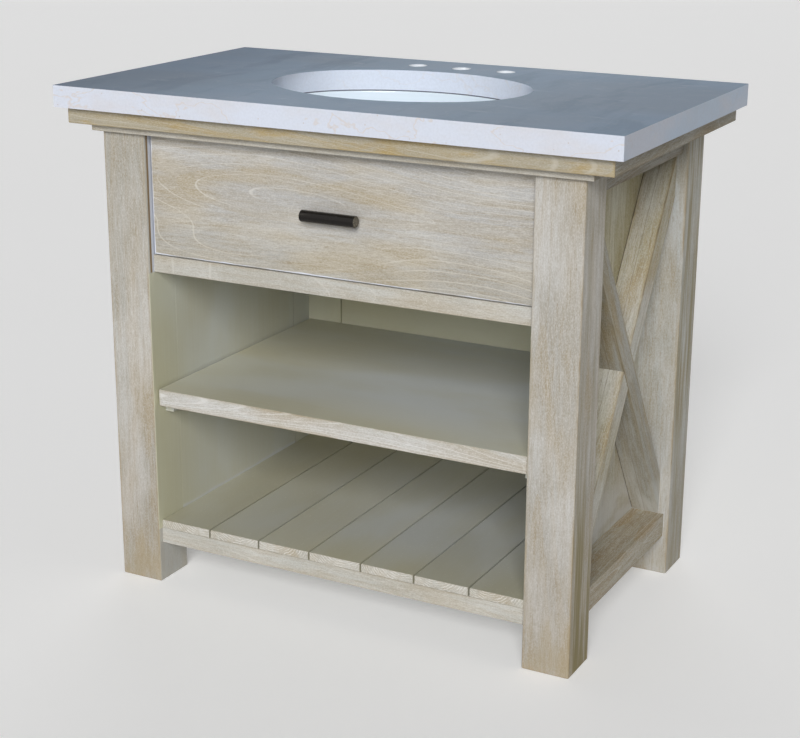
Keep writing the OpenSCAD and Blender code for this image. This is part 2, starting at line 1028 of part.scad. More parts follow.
countertop();
sink_basin();
basin_clips();
cornice_front();
cornice_end("left");  // cornice_left
cornice_end("right");  // cornice_right
bed_mould_front();
bed_mould_end("left");  // bed_mould_left
bed_mould_end("right");  // bed_mould_right
post_front("left");  // post_front_left
post_front("right");  // post_front_right
post_rear("left");  // post_rear_left
post_rear("right");  // post_rear_right
front_top_rail();
drawer_rail();
side_top_rail("left");  // side_top_rail_left
side_top_rail("right");  // side_top_rail_right
side_bottom_rail("left");  // side_bottom_rail_left
side_bottom_rail("right");  // side_bottom_rail_right
side_panel("left");  // side_panel_left
side_panel("right");  // side_panel_right
brace_long("left");  // brace_long_left
brace_long("right");  // brace_long_right
brace_short("left", 1);  // brace_upper_left
brace_short("right", 1);  // brace_upper_right
brace_short("left", -1);  // brace_lower_left
brace_short("right", -1);  // brace_lower_right
back_panel();
back_stile("left");  // back_stile_left
back_stile("right");  // back_stile_right
back_top_rail();
bottom_front_rail();
bottom_rear_rail();
centre_bearer();
for (i = [1:plank_count])
    plank(i);
middle_shelf();
shelf_cleat("left");  // shelf_cleat_left
shelf_cleat("right");  // shelf_cleat_right
drawer_front();
drawer_inner_front();
drawer_side("left");  // drawer_side_left
drawer_side("right");  // drawer_side_right
drawer_backs();
drawer_notch();
drawer_bottom();
slide_outer("left");  // slide_outer_left
slide_outer("right");  // slide_outer_right
slide_middle("left");  // slide_middle_left
slide_middle("right");  // slide_middle_right
slide_inner("left");  // slide_inner_left
slide_inner("right");  // slide_inner_right
pull_bar();
pull_standoffs();
pull_screws();
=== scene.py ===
"""A farmhouse vanity: honed stone and a glazed basin over a limed-wood stand."""

import json
import math
from itertools import product

import bmesh
import bpy
from bpy.props import FloatProperty, FloatVectorProperty, PointerProperty
from mathutils import Euler, Matrix, Vector

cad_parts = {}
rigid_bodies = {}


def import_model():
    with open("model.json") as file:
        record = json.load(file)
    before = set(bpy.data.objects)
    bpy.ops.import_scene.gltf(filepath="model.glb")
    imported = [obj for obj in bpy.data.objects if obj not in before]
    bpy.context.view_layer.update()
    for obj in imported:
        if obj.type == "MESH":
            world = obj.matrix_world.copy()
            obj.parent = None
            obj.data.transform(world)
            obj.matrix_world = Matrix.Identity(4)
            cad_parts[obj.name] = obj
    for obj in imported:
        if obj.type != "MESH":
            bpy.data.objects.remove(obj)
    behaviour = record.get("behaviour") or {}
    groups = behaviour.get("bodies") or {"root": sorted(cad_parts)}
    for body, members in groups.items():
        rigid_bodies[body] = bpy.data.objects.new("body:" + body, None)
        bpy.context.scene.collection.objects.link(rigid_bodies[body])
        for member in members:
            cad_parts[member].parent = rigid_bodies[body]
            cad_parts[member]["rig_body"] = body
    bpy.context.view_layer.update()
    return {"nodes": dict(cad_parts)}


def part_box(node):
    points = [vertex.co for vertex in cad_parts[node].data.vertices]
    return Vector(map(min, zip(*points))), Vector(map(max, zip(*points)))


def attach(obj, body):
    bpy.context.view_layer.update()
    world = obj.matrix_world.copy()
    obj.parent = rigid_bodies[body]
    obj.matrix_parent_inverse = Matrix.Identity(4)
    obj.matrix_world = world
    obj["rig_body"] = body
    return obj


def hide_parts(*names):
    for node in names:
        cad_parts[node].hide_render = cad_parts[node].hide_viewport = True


bl_info = {
    "name": "Farmhouse vanity",
    "version": (1, 0, 0),
    "blender": (4, 5, 0),
    "location": "3D View > Sidebar > Vanity",
    "description": "Dresses the vanity in stone, glaze, limed wood, paint and bronze",
    "category": "Add Mesh",
}

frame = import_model()

SIDES = ("left", "right")
# Oval of the cut-out: half-length, half-width, radius of its ends
OVAL = (0.235, 0.1785, 0.150)
# Faucet holes: their places across, their place in depth, their radius
FAUCET_ACROSS, FAUCET_DEPTH, FAUCET_RADIUS = (-0.09, 0.0, 0.09), 0.23, 0.0175
BRACE_WIDTH = 0.042
# Radius of the eased edges of the braces and the pull
BRACE_EASE, PULL_EASE = 0.0016, 0.0004
# Points nearer than this are one point
SAME_POINT = 0.000001
# Angles, in degrees, over which an edge is crisp, and over which it is eased
CRISP, EASED = 25, 30
# Turns that bring the grain of a board on to X
GRAIN = {"x": (0, 0, 0), "y": (0, 0, -math.pi / 2), "z": (0, math.pi / 2, 0)}

# Colours of the weathered sides, and a darker, browner copy that is painted shade on the side cornice,
# mouldings and top rails
SILVER = dict(
    Pale=(0.37, 0.355, 0.295), Tan=(0.35, 0.265, 0.125), Lime=(0.62, 0.63, 0.61), Brown=(0.15, 0.115, 0.06)
)
SHADED = dict(
    Pale=(0.25, 0.23, 0.175), Tan=(0.215, 0.16, 0.08), Lime=(0.48, 0.48, 0.45), Brown=(0.12, 0.09, 0.045)
)
# Colours of marks on the paint
PALE_SMEAR, PAINT_SPECK, AGED_PAINT = (0.66, 0.68, 0.70), (0.72, 0.72, 0.68), (0.48, 0.43, 0.26)
# Colours of marks on the wood; several hold painted shade: on the panel's front, on the outer faces of the
# posts, on the long brace, along the panel and in the reveal
GATHERED_LIME, BRACE_LIME, THIN_PAINT = (0.56, 0.56, 0.54), (0.56, 0.56, 0.53), (0.66, 0.70, 0.70)
PANEL_FRONT_SHADE, STAIN, SIDE_SHADE_BAND = (0.17, 0.125, 0.06), (0.38, 0.295, 0.15), (0.22, 0.18, 0.08)
BRACE_SHADE, LAYER_LINE, PANEL_SHADOW_LINE = (0.19, 0.155, 0.085), (0.16, 0.11, 0.06), (0.05, 0.04, 0.03)
REVEAL_SHADE_LINE, REVEAL_SMEAR = (0.22, 0.145, 0.065), (0.60, 0.63, 0.70)
DRAWER_RIM, DRAWER_SIDE_RIM = (0.76, 0.79, 0.86), (0.62, 0.64, 0.68)
# Colours of marks on the stone; the side colours are painted shade, the cut-out wall colour painted light,
# and the basin line partly painted shadow
COOL_CLOUD, GREY_DRIFT = (0.44, 0.518, 0.625), (0.335, 0.365, 0.40)
FACE_SCUFF, FACE_VEIN, GRAIN_SPECK = (0.60, 0.67, 0.76), (0.62, 0.63, 0.66), (0.30, 0.30, 0.32)
PIT, BASIN_JOINT_AND_SHADOW, CUTOUT_WALL_LIGHT = (0.52, 0.42, 0.36), (0.10, 0.10, 0.13), (0.80, 0.86, 0.97)
HOLE_WALL, BLUE_SIDE_SHADE, GREY_SIDE_SHADE = (0.92, 0.96, 1.0), (0.45, 0.54, 0.65), (0.53, 0.555, 0.62)
# Colours that darken or yellow what they multiply: painted warm light towards the front of the bay and on the
# shelves, painted shade low on the posts and at both ends of the stone's face, the panels yellower higher up,
# the drawer front darker lower down
WALL_WARM_LIGHT, SHELF_WARM_LIGHT, WARM_PANEL = (1.0, 0.97, 0.80), (1.05, 1.0, 0.83), (1.02, 0.98, 0.80)
LOW_POST_SHADE, LOW_DRAWER = (0.92, 0.91, 0.91), (0.90, 0.88, 0.82)
LEFT_STONE_SHADE, RIGHT_STONE_SHADE = (0.42, 0.46, 0.51), (0.50, 0.56, 0.62)


# Settings


def colour(name, what, default):
    text = "Colour of the " + what
    return FloatVectorProperty(name=name, description=text, default=default, subtype="COLOR", min=0, max=1)


def chosen(name):
    return getattr(bpy.context.scene, "vanity_" + name)


def length(name, text, default):
    return FloatProperty(name=name, description=text, default=default, subtype="DISTANCE", min=0)


def angle(name, text, degrees):
    return FloatProperty(name=name, description=text, default=math.radians(degrees), subtype="ANGLE")


class StoneSettings(bpy.types.PropertyGroup):
    # The face colour is darker and bluer than the edges: partly the stone's tone, partly painted shade and
    # painted reflection
    face: colour("Honed face", "honed upper face", (0.325, 0.428, 0.555))
    edge: colour("Sawn edge", "edges and the walls of the holes", (0.725, 0.77, 0.87))
    warm: colour("Warm cloud", "warm clouds and veins", (0.70, 0.61, 0.54))
    ease: length("Eased edge", "Radius of the eased edges", 0.0008)


class BasinSettings(bpy.types.PropertyGroup):
    glaze: colour("Glaze", "glaze", (0.83, 0.925, 1.0))
    depth: length("Depth", "Depth of the bowl under the stone", 0.150)
    wall: length("Wall", "Wall of the bowl", 0.009)
    floor: length("Floor", "Thickness of the floor of the bowl", 0.010)
    flange: length("Flange", "Width of the flange outside the cut-out", 0.020)
    flange_thickness: length("Flange thickness", "Thickness of the flange", 0.012)
    drain: length("Drain", "Diameter of the drain hole", 0.045)


class WoodSettings(bpy.types.PropertyGroup):
    pale: colour("Limed", "limed wood", (0.50, 0.49, 0.435))
    tan: colour("Rubbed", "wood where the lime is rubbed thin", (0.43, 0.355, 0.235))
    lime: colour("Lime", "lime in the pores", (0.72, 0.70, 0.65))
    brown: colour("Worn edge", "worn edges", (0.27, 0.205, 0.115))
    ease: length("Eased edge", "Radius of the eased edges", 0.0015)
    figure: FloatProperty(
        name="Figure", description="Strength of the pale grain lines", default=0.35, subtype="FACTOR",
        min=0, max=1,
    )


class PaintSettings(bpy.types.PropertyGroup):
    tone: colour("Paint", "paint inside", (0.60, 0.598, 0.505))
    scuff: colour("Scuff", "scuffs on the paint", (0.65, 0.672, 0.645))


class MetalSettings(bpy.types.PropertyGroup):
    bronze: colour("Bronze", "dark bronze", (0.013, 0.011, 0.009))
    worn: colour("Worn bronze", "rubbed bronze", (0.15, 0.135, 0.105))
    zinc: colour("Zinc", "zinc plate", (0.62, 0.63, 0.65))


class StageSettings(bpy.types.PropertyGroup):
    camera_place: FloatVectorProperty(
        name="Camera", description="Where the camera stands", default=(1.3862, -2.6429, 1.3427),
        subtype="TRANSLATION",
    )
    azimuth: angle("Azimuth", "Camera to the right of the front", 27.75)
    elevation: angle("Elevation", "Camera above the level", 17.6)
    roll: angle("Roll", "Turn of the camera about its line of sight", 0.25)
    lens: FloatProperty(name="Lens", description="Focal length in mm on a 36 mm sensor", default=77.2)
    floor: colour("Floor", "floor", (0.86, 0.86, 0.86))


# Nodes of materials


class Tree:
    """A node tree that is built one short line at a time."""

    def __init__(self, tree):
        self.tree = tree

    def fill(self, sockets, values):
        """Links or sets sockets, by name or number."""
        for key, value in values.items():
            socket = sockets[key]
            if isinstance(value, bpy.types.NodeSocket):
                self.tree.links.new(value, socket)
            elif socket.type == "RGBA" and len(value) == 3:
                socket.default_value = (*value, 1)
            else:
                socket.default_value = value

    def add(self, kind, inputs=None, **settings):
        node = self.tree.nodes.new("ShaderNode" + kind)
        for name, value in settings.items():
            setattr(node, name, value)
        self.fill(node.inputs, inputs or {})
        return node

    def group(self, name, **values):
        return self.add("Group", values, node_tree=shared_group(name)).outputs

    def place(self):
        return self.add("TexCoord").outputs["Object"]

    def split(self, vector):
        return self.add("SeparateXYZ", {0: vector}).outputs

    def join(self, *parts):
        return self.add("CombineXYZ", dict(enumerate(parts))).outputs[0]

    def math(self, operation, *values, clamp=False):
        return self.add("Math", dict(enumerate(values)), operation=operation, use_clamp=clamp).outputs[0]

    def plus(self, first, second):
        return self.math("ADD", first, second)

    def minus(self, first, second):
        return self.math("SUBTRACT", first, second)

    def times(self, first, *others):
        for other in others:
            first = self.math("MULTIPLY", first, other)
        return first

    def apart(self, first, second):
        return self.math("ABSOLUTE", self.minus(first, second))

    def around_zero(self, noise, width):
        return self.times(self.minus(noise, 0.5), width)

    def vector(self, operation, *values):
        return self.add("VectorMath", dict(enumerate(values)), operation=operation).outputs[0]

    def measure(self, operation, *values):
        return self.add("VectorMath", dict(enumerate(values)), operation=operation).outputs["Value"]

    def scaled(self, vector, scale):
        return self.add("VectorMath", {0: vector, "Scale": scale}, operation="SCALE").outputs[0]

    def mix(self, factor, first, second, blend="MIX"):
        inputs = {0: factor, 6: first, 7: second}
        return self.add("Mix", inputs, data_type="RGBA", blend_type=blend).outputs[2]

    def layers(self, tone, *layers):
        """Lays colours over a tone, each by its share."""
        for factor, over, *blend in layers:
            tone = self.mix(factor, tone, over, *blend)
        return tone

    def rise(self, value, low, high, end=1.0, start=0.0):
        """Goes smoothly from start to end as the value goes from low to high."""
        inputs = {"Value": value, "From Min": low, "From Max": high, "To Min": start, "To Max": end}
        return self.add("MapRange", inputs, interpolation_type="SMOOTHSTEP").outputs[0]

    def fall(self, value, low, high, start=1.0):
        return self.rise(value, low, high, 0.0, start)

    def shade(self, values):
        """Fills sockets of the material's shader."""
        self.fill(self.tree.nodes["Principled BSDF"].inputs, values)

    def finish(self, tone, roughness, relief, depth=0.0004, strength=0.6):
        bump = self.add("Bump", {"Strength": strength, "Distance": depth, "Height": relief}).outputs[0]
        self.shade({"Base Color": tone, "Roughness": roughness, "Normal": bump})

    def noise(self, place, stretch, detail=2.0, roughness=0.5, output=0):
        place = self.vector("MULTIPLY", place, stretch)
        inputs = {"Vector": place, "Scale": 1.0, "Detail": detail, "Roughness": roughness}
        return self.add("TexNoise", inputs).outputs[output]

    def blots(self, place, stretch, levels, detail=2.0, roughness=0.5):
        """A noise whose levels go through rise."""
        return self.rise(self.noise(place, stretch, detail, roughness), *levels)


def socket_kind(value):
    """One number is a plain value, three are a vector and four are a colour."""
    if isinstance(value, float):
        return "NodeSocketFloat"
    return "NodeSocketVector" if len(value) == 3 else "NodeSocketColor"


def shared_group(name):
    """The node group of this name, built when it is first asked for."""
    if name in bpy.data.node_groups:
        return bpy.data.node_groups[name]
    build, inputs, outputs = GROUPS[name]
    group = bpy.data.node_groups.new(name, "ShaderNodeTree")
    for way, sockets in (("INPUT", inputs), ("OUTPUT", outputs)):
        for label, value in sockets.items():
            socket = group.interface.new_socket(label, in_out=way, socket_type=socket_kind(value))
            socket.default_value = value
    tree = Tree(group)
    given = group.nodes.new("NodeGroupInput").outputs
    tree.fill(group.nodes.new("NodeGroupOutput").inputs, build(tree, given))
    return group


def board_place(tree, given):
    """Place on a board, with X along its grain, and the distance to its nearest edge."""
    place = tree.vector("SUBTRACT", tree.place(), given["Centre"])
    turned = {"Vector": place, "Rotation": given["Turn"]}
    place = tree.add("VectorRotate", turned, rotation_type="EULER_XYZ").outputs[0]
    x, y, z = tree.split(tree.vector("SUBTRACT", given["Half"], tree.vector("ABSOLUTE", place)))
    low = tree.math("MINIMUM", x, tree.math("MINIMUM", y, z))
    high = tree.math("MAXIMUM", x, tree.math("MAXIMUM", y, z))
    middle = tree.minus(tree.minus(tree.plus(x, tree.plus(y, z)), low), high)
    return {"Place": place, "Edge": middle}


def shifted(tree, given):
    """A place of its own in the noise for every seed."""
    turns = tree.scaled((12.9, 78.2, 37.7), given["Seed"])
    return tree.vector("MULTIPLY_ADD", tree.vector("SINE", turns), (5.0, 5.0, 5.0), given["Place"])


def limed_wood(tree, given):
    """Limed wood: rubbed patches, streaks, lime in the pores, figure lines and worn edges."""
    pale, tan, lime, brown = (given[name] for name in ("Pale", "Tan", "Lime", "Brown"))
    patches, streaks, wear = (given[name] for name in ("Patches", "Streaks", "Wear"))
    place = shifted(tree, given)
    wave = tree.noise(place, (2.0, 8.0, 8.0), output="Color")
    wave = tree.vector("MULTIPLY", tree.vector("SUBTRACT", wave, (0.5, 0.5, 0.5)), (0.02, 0.018, 0.018))
    flow = tree.vector("ADD", place, wave)

    streak = tree.noise(flow, (6, 130, 130), 5, 0.75)
    fine = tree.noise(flow, (60, 650, 650), 2, 0.6)
    pores = tree.blots(flow, (45, 820, 820), (0.50, 0.68), 2, 0.6)
    patch = tree.noise(tree.scaled(flow, given["Crowd"]), (3.4, 15, 15), 3, 0.55)
    cloud = tree.blots(place, (6, 12, 12), (0.40, 0.68))
    fleck = tree.noise(flow, (300, 720, 720), 1, 0.6)
    line, crown = figure_lines(tree, flow, given["Loops"])
    fade = tree.blots(place, (5, 15, 15), (0.30, 0.48), 1)
    ragged = tree.noise(flow, (30, 160, 160), 3)
    edge = tree.plus(given["Edge"], tree.around_zero(ragged, 0.006))
    gaps = tree.blots(place, (7, 3, 3), (0.40, 0.62, 1.0, 0.25), 3)

    tone = tree.layers(
        pale,
        (tree.times(tree.rise(patch, 0.49, 0.64), patches), tan),
        (tree.times(crown, patches, 0.55), tan),
        (tree.times(cloud, given["Bloom"]), lime),
        (tree.times(tree.rise(streak, 0.42, 0.70, 0.75), streaks), tree.mix(0.5, tan, brown)),
        (tree.times(tree.rise(fine, 0.48, 0.72), streaks, 0.55), brown),
        (tree.times(tree.rise(patch, 0.60, 0.70), patches, 0.35), tan),
        (tree.fall(fleck, 0.34, 0.50, 0.17), brown),
        (tree.rise(fleck, 0.50, 0.66, 0.30), lime),
        (tree.times(pores, 0.30), lime),
        (tree.times(line, fade, given["Figure"]), lime),
        (tree.times(tree.fall(edge, 0.0010, 0.0080, 0.6), gaps, wear), tan),
        (tree.times(tree.fall(edge, 0.0000, 0.0026), gaps, wear), brown),
    )
    relief = tree.minus(tree.times(streak, 0.6), tree.times(pores, 0.35))
    return {
        "Color": tone,
        "Roughness": tree.rise(streak, 0.3, 0.7, 0.74, 0.56),
        "Height": tree.plus(relief, tree.times(fine, 0.35)),
    }


def figure_lines(tree, flow, loops):
    """Growth rings of a flat-sawn face: thin lines on the levels of a stretched field, and tan crowns."""
    levels, reach = 24.0, 0.0008
    stretch = tree.join(1.3, loops, loops)
    field = tree.noise(flow, stretch, 0)
    slopes = []
    for offset in ((reach, 0, 0), (0, reach, 0), (0, 0, reach)):
        beside = tree.noise(tree.vector("ADD", flow, offset), stretch, 0)
        slopes.append(tree.minus(beside, field))
    slope = tree.measure("LENGTH", tree.join(*slopes))
    slope = tree.math("MAXIMUM", tree.math("DIVIDE", slope, reach), 0.32)
    ring = tree.math("FRACT", tree.times(field, levels))
    away = tree.math("DIVIDE", tree.apart(ring, 0.5), levels)
    crown = tree.math("FRACT", tree.times(field, levels / 4))
    line = tree.fall(tree.math("DIVIDE", away, slope), 0.0001, 0.0006)
    return line, tree.fall(crown, 0.0, 0.55)


def matt_paint(tree, given):
    """Matt paint: brush marks, scuffs, aged patches, specks and pale smears by the edges."""
    place = shifted(tree, given)
    brush = tree.noise(place, (6, 170, 170), 3, 0.6)
    cloud = tree.noise(place, (4, 8, 8), 3)
    aged = tree.blots(place, (2.5, 5, 5), (0.45, 0.65, 0.5), 1)
    speck = tree.blots(place, (240, 420, 420), (0.68, 0.75), 1)
    smear = tree.blots(place, (9, 60, 60), (0.50, 0.66))
    tone = tree.layers(
        given["Tone"],
        (tree.rise(cloud, 0.38, 0.64, 0.65), given["Scuff"]),
        (aged, tree.mix(0.65, AGED_PAINT, given["Tone"])),
        (tree.rise(brush, 0.38, 0.68, 0.16), given["Scuff"]),
        (tree.times(speck, 0.35), PAINT_SPECK),
        (tree.times(smear, tree.fall(given["Edge"], 0.0, 0.006, 0.55)), PALE_SMEAR),
    )
    return {
        "Color": tone,
        "Roughness": tree.rise(cloud, 0.3, 0.7, 0.60, 0.48),
        "Height": tree.plus(tree.times(brush, 0.5), tree.times(speck, 0.3)),
    }


def end_grain(tree, given):
    """The limed end of a board: pale curves of its growth rings."""
    sway = tree.math("SINE", tree.times(given["Seed"], 7.3))
    pith = tree.join(0.0, tree.times(sway, 0.03), 0.05)
    place = tree.vector("MULTIPLY", given["Place"], (0.0, 1.0, 1.0))
    ripple = tree.noise(tree.vector("ADD", place, pith), (60, 60, 60))
    away = tree.plus(tree.measure("DISTANCE", place, pith), tree.times(ripple, 0.010))
    ring = tree.rise(tree.math("SINE", tree.times(away, 1500.0)), 0.2, 0.95)
    broken = tree.blots(place, (60, 60, 60), (0.36, 0.58, 1.0, 0.15))
    return {"Color": tree.mix(tree.times(ring, broken, 0.9), given["Pale"], given["Lime"])}


# Each group: what builds it, its inputs and its outputs
ORIGIN, ONES, WHITE = (0.0, 0.0, 0.0), (1.0, 1.0, 1.0), (1.0, 1.0, 1.0, 1.0)
ON_BOARD = {"Place": ORIGIN, "Edge": 1.0, "Seed": 0.0}
LOOK = {"Color": WHITE, "Roughness": 0.5, "Height": 0.0}
WOOD_TONES = {"Pale": WHITE, "Tan": WHITE, "Lime": WHITE, "Brown": WHITE, "Figure": 0.4, "Loops": 9.0}
WOOD_MARKS = {"Patches": 0.5, "Streaks": 0.5, "Wear": 0.6, "Bloom": 0.35, "Crowd": 1.0}
WHOLE_BOARD = {"Centre": ORIGIN, "Half": ONES, "Turn": ORIGIN}
GROUPS = {
    "board_place": (board_place, WHOLE_BOARD, {"Place": ORIGIN, "Edge": 1.0}),
    "limed_wood": (limed_wood, {**ON_BOARD, **WOOD_TONES, **WOOD_MARKS}, LOOK),
    "matt_paint": (matt_paint, {**ON_BOARD, "Tone": WHITE, "Scuff": WHITE}, LOOK),
    "end_grain": (end_grain, {"Place": ORIGIN, "Seed": 0.0, "Pale": WHITE, "Lime": WHITE}, {"Color": WHITE}),
}


# Looks: each gives the colour, roughness and relief of a board


def place_board(tree, centre, half, turn):
    outputs = tree.group("board_place", Centre=centre, Half=half, Turn=turn)
    return outputs["Place"], outputs["Edge"]


def limed_look(tree, board, seed, **values):
    """Place on a board, the distance to its edge, and its limed wood."""
    settings = chosen("wood")
    place, edge = place_board(tree, *board)
    given = {label: getattr(settings, label.lower()) for label in ("Pale", "Tan", "Lime", "Brown", "Figure")}
    return place, edge, tree.group("limed_wood", Place=place, Edge=edge, Seed=seed, **{**given, **values})


def painted_look(tree, place, edge, seed, cast):
    settings = chosen("paint")
    tone, scuff = ([v * k for v, k in zip(shade, cast)] for shade in (settings.tone, settings.scuff))
    return tree.group("matt_paint", Place=place, Edge=edge, Seed=seed, Tone=tone, Scuff=scuff)


def limed(tree, board, seed, **values):
    return limed_look(tree, board, seed, **values)[2]


def painted(tree, board, seed, cast=ONES):
    return *painted_look(tree, *place_board(tree, *board), seed, cast), 0.0003


def facing(tree, direction):
    """1 where the surface faces a direction, 0 elsewhere."""
    normal = tree.add("NewGeometry").outputs["Normal"]
    return tree.rise(tree.measure("DOT_PRODUCT", normal, direction), 0.62, 0.78)


def wall_paint(tree, board, edge, depth):
    """The paint inside the bay, one field of marks for all walls, and its colour, yellower in front as
    painted warm light.
    """
    _, half, turn = board
    coat, _ = place_board(tree, ORIGIN, half, turn)
    paint = painted_look(tree, coat, tree.plus(edge, 0.002), 31.3, ONES)
    return paint, tree.mix(tree.fall(depth, -0.27, -0.10, 0.9), paint["Color"], WALL_WARM_LIGHT, "MULTIPLY")


def paint_over(tree, mask, bare, bare_tone, paint, paint_tone):
    """Paint where the mask is 1, and bare wood elsewhere."""
    roughness = tree.add("Mix", {0: mask, 2: bare["Roughness"], 3: paint["Roughness"]}).outputs[0]
    relief = tree.add("Mix", {0: mask, 2: bare["Height"], 3: tree.times(paint["Height"], 0.7)}).outputs[0]
    return tree.mix(mask, bare_tone, paint_tone), roughness, relief


def post(tree, board, seed, inward, outer, sink, foot, **values):
    """Limed wood, painted on its inner face between the deck and the rail under the drawer.

    Beside the drawer the inner face has a brown line, partly worn wood and partly painted shade, and a pale
    smear behind it. The outer face is darker in streaks, partly the wood's own and partly painted shade, by
    the share outer and, lower down, the factor sink. The post is darker towards its foot as painted shade,
    and the foot is stained by the share foot.
    """
    place, edge, bare = limed_look(tree, board, seed, **values)
    _, depth, height = tree.split(tree.place())
    floor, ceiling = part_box("plank_1")[0].z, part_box("drawer_rail")[0].z
    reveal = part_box("drawer_front")[0].y - 0.009
    inner = facing(tree, inward)
    stained = tree.blots(place, (9, 26, 26), (0.40, 0.62, 1.0, 0.25), 3)
    # Painted shade on the outer faces, in streaks, stronger low on the front posts and weaker low on the rear
    side_shade = tree.blots(place, (3, 75, 75), (0.38, 0.62, 1.9 * outer, 0.2 * outer), 3, 0.6)
    side_shade = tree.times(side_shade, tree.rise(height, 0.16, 0.42, 1.0, sink))
    tone = tree.layers(
        bare["Color"],
        (tree.times(tree.fall(height, 0.0, 0.36, foot), stained), STAIN),
        # Painted shade: darker towards the bottom
        (tree.fall(height, 0.10, 0.42), LOW_POST_SHADE, "MULTIPLY"),
        (tree.math("MULTIPLY", facing(tree, [-v for v in inward]), side_shade, clamp=True), SIDE_SHADE_BAND),
        (tree.times(inner, 0.40), THIN_PAINT),
    )
    over = tree.rise(height, ceiling - 0.002, ceiling + 0.002)
    strip = tree.layers(
        tone,
        (tree.rise(depth, reveal + 0.001, reveal + 0.003), REVEAL_SMEAR),
        # A brown line in the reveal: partly worn wood, partly painted shade
        (tree.fall(tree.apart(depth, reveal), 0.0020, 0.0036, 0.95), REVEAL_SHADE_LINE),
    )
    tone = tree.mix(tree.times(inner, over), tone, strip)
    inside = tree.minus(tree.rise(height, floor - 0.001, floor + 0.001), over)
    return paint_over(tree, tree.times(inner, inside), bare, tone, *wall_paint(tree, board, edge, depth))


def panel(tree, board, seed, outward, seam, **values):
    """Limed wood outside, with painted shade towards the front, more lime towards the rear, partly as painted
    light, and gathered lime; paint inside, with a pale smear up to a seam.
    """
    _, depth, height = tree.split(tree.place())
    # Towards the rear more lime shows, partly as painted light where the panel is lit
    rear_light = tree.rise(depth, -0.08, 0.10)
    rear_lime_and_light = tree.math("MULTIPLY_ADD", rear_light, 0.75, 0.2)
    place, edge, bare = limed_look(tree, board, seed, Bloom=rear_lime_and_light, **values)
    paint, paint_tone = wall_paint(tree, board, edge, depth)
    # Painted shade on the front part of the panel, at middle heights
    front_shade = tree.minus(1.0, rear_light), tree.fall(height, 0.50, 0.62, 0.22), tree.rise(height, 0.20, 0.34)
    ragged = tree.noise(place, (30, 12, 30), 3)
    gathered = tree.fall(height, seam, seam + 0.16, 0.75), tree.rise(ragged, 0.30, 0.60, 1.0, 0.4)
    tone = tree.layers(
        bare["Color"],
        (tree.times(*front_shade), PANEL_FRONT_SHADE),
        (tree.rise(height, 0.40, 0.62, 0.8), WARM_PANEL, "MULTIPLY"),
        (tree.times(*gathered), GATHERED_LIME),
    )
    over = tree.minus(tree.minus(height, seam), tree.times(ragged, 0.012))
    paint_tone = tree.mix(tree.fall(over, -0.004, 0.002, 0.65), paint_tone, PALE_SMEAR)
    return paint_over(tree, tree.minus(1.0, facing(tree, outward)), bare, tone, paint, paint_tone)


def shelf(tree, board, seed, cast, ends=False, **values):
    """Paint, yellower to the front and the left as painted light, with a bare front edge, which can show end
    grain.
    """
    place, edge, bare = limed_look(tree, board, seed, **values)
    across, depth, _ = tree.split(tree.place())
    tone = bare["Color"]
    if ends:
        lime = chosen("wood").lime
        tone = tree.group("end_grain", Place=place, Seed=seed, Pale=tone, Lime=lime)["Color"]
    paint = painted_look(tree, place, tree.plus(edge, 0.002), seed, cast)
    # Painted light: yellower towards the front and the left
    warm_light = tree.math("MAXIMUM", tree.fall(across, -0.40, 0.05, 0.9), tree.fall(depth, -0.26, -0.09, 0.8))
    paint_tone = tree.mix(warm_light, paint["Color"], SHELF_WARM_LIGHT, "MULTIPLY")
    return paint_over(tree, tree.minus(1.0, facing(tree, (0, -1, 0))), bare, tone, paint, paint_tone)


def brace(tree, board, seed, panel_side, dull, pale):
    """Limed wood in two layers, with lime at its foot, painted shade by a share, and a dark line of painted
    shadow where it meets the panel.
    """
    values = dict(SILVER, Pale=pale, Patches=0.8, Wear=0.9, Streaks=0.8, Figure=0.1, Bloom=0.6, Crowd=1.6)
    place, _, look = limed_look(tree, board, seed, **values)
    across = tree.split(place)[1]
    height = tree.split(tree.place())[2]
    ragged = tree.blots(place, (12, 40, 40), (0.36, 0.60, 1.0, 0.15), 3)
    tone = tree.layers(
        look["Color"],
        # Painted shade by a share
        (dull, BRACE_SHADE),
        (tree.times(tree.fall(height, 0.12, 0.30, 0.6), ragged), BRACE_LIME),
        (tree.fall(tree.math("ABSOLUTE", across), 0.0003, 0.0011, 0.40), LAYER_LINE),
        # Painted shadow: a dark line where the brace meets the panel
        (tree.fall(tree.apart(across, panel_side * board[1][1]), 0.0006, 0.0022, 0.85), PANEL_SHADOW_LINE),
    )
    return tone, look["Roughness"], look["Height"]


def drawer_front(tree, board, seed, **values):
    """Limed wood with a line of pale paint on its left, lower and right arrises."""
    place, _, look = limed_look(tree, board, seed, Wear=0.0, **values)
    x, _, z = tree.split(place)
    half_length, _, half_height = board[1]
    ragged = tree.noise(place, (22, 60, 22))
    nearest = tree.math("MINIMUM", tree.plus(x, half_length), tree.plus(z, half_height))
    rim = tree.fall(tree.plus(nearest, tree.around_zero(ragged, 0.005)), 0.0012, 0.0030)
    broken = tree.blots(place, (11, 3, 3), (0.42, 0.56, 1.0, 0.25))
    right = tree.plus(tree.minus(half_length, x), tree.around_zero(ragged, 0.006))
    tone = tree.layers(
        look["Color"],
        (tree.fall(z, -half_height, 0.02, 0.9), LOW_DRAWER, "MULTIPLY"),
        (tree.times(rim, broken), DRAWER_RIM),
        (tree.fall(right, 0.0004, 0.0016, 0.6), DRAWER_SIDE_RIM),
    )
    return tone, look["Roughness"], look["Height"]


# Materials


def new_material(name):
    material = bpy.data.materials.new(name)
    material.use_nodes = True
    return material, Tree(material.node_tree)


def board_material(name, look, board, seed, **values):
    material, tree = new_material(name)
    tree.finish(*look(tree, board, seed, **values))
    return material


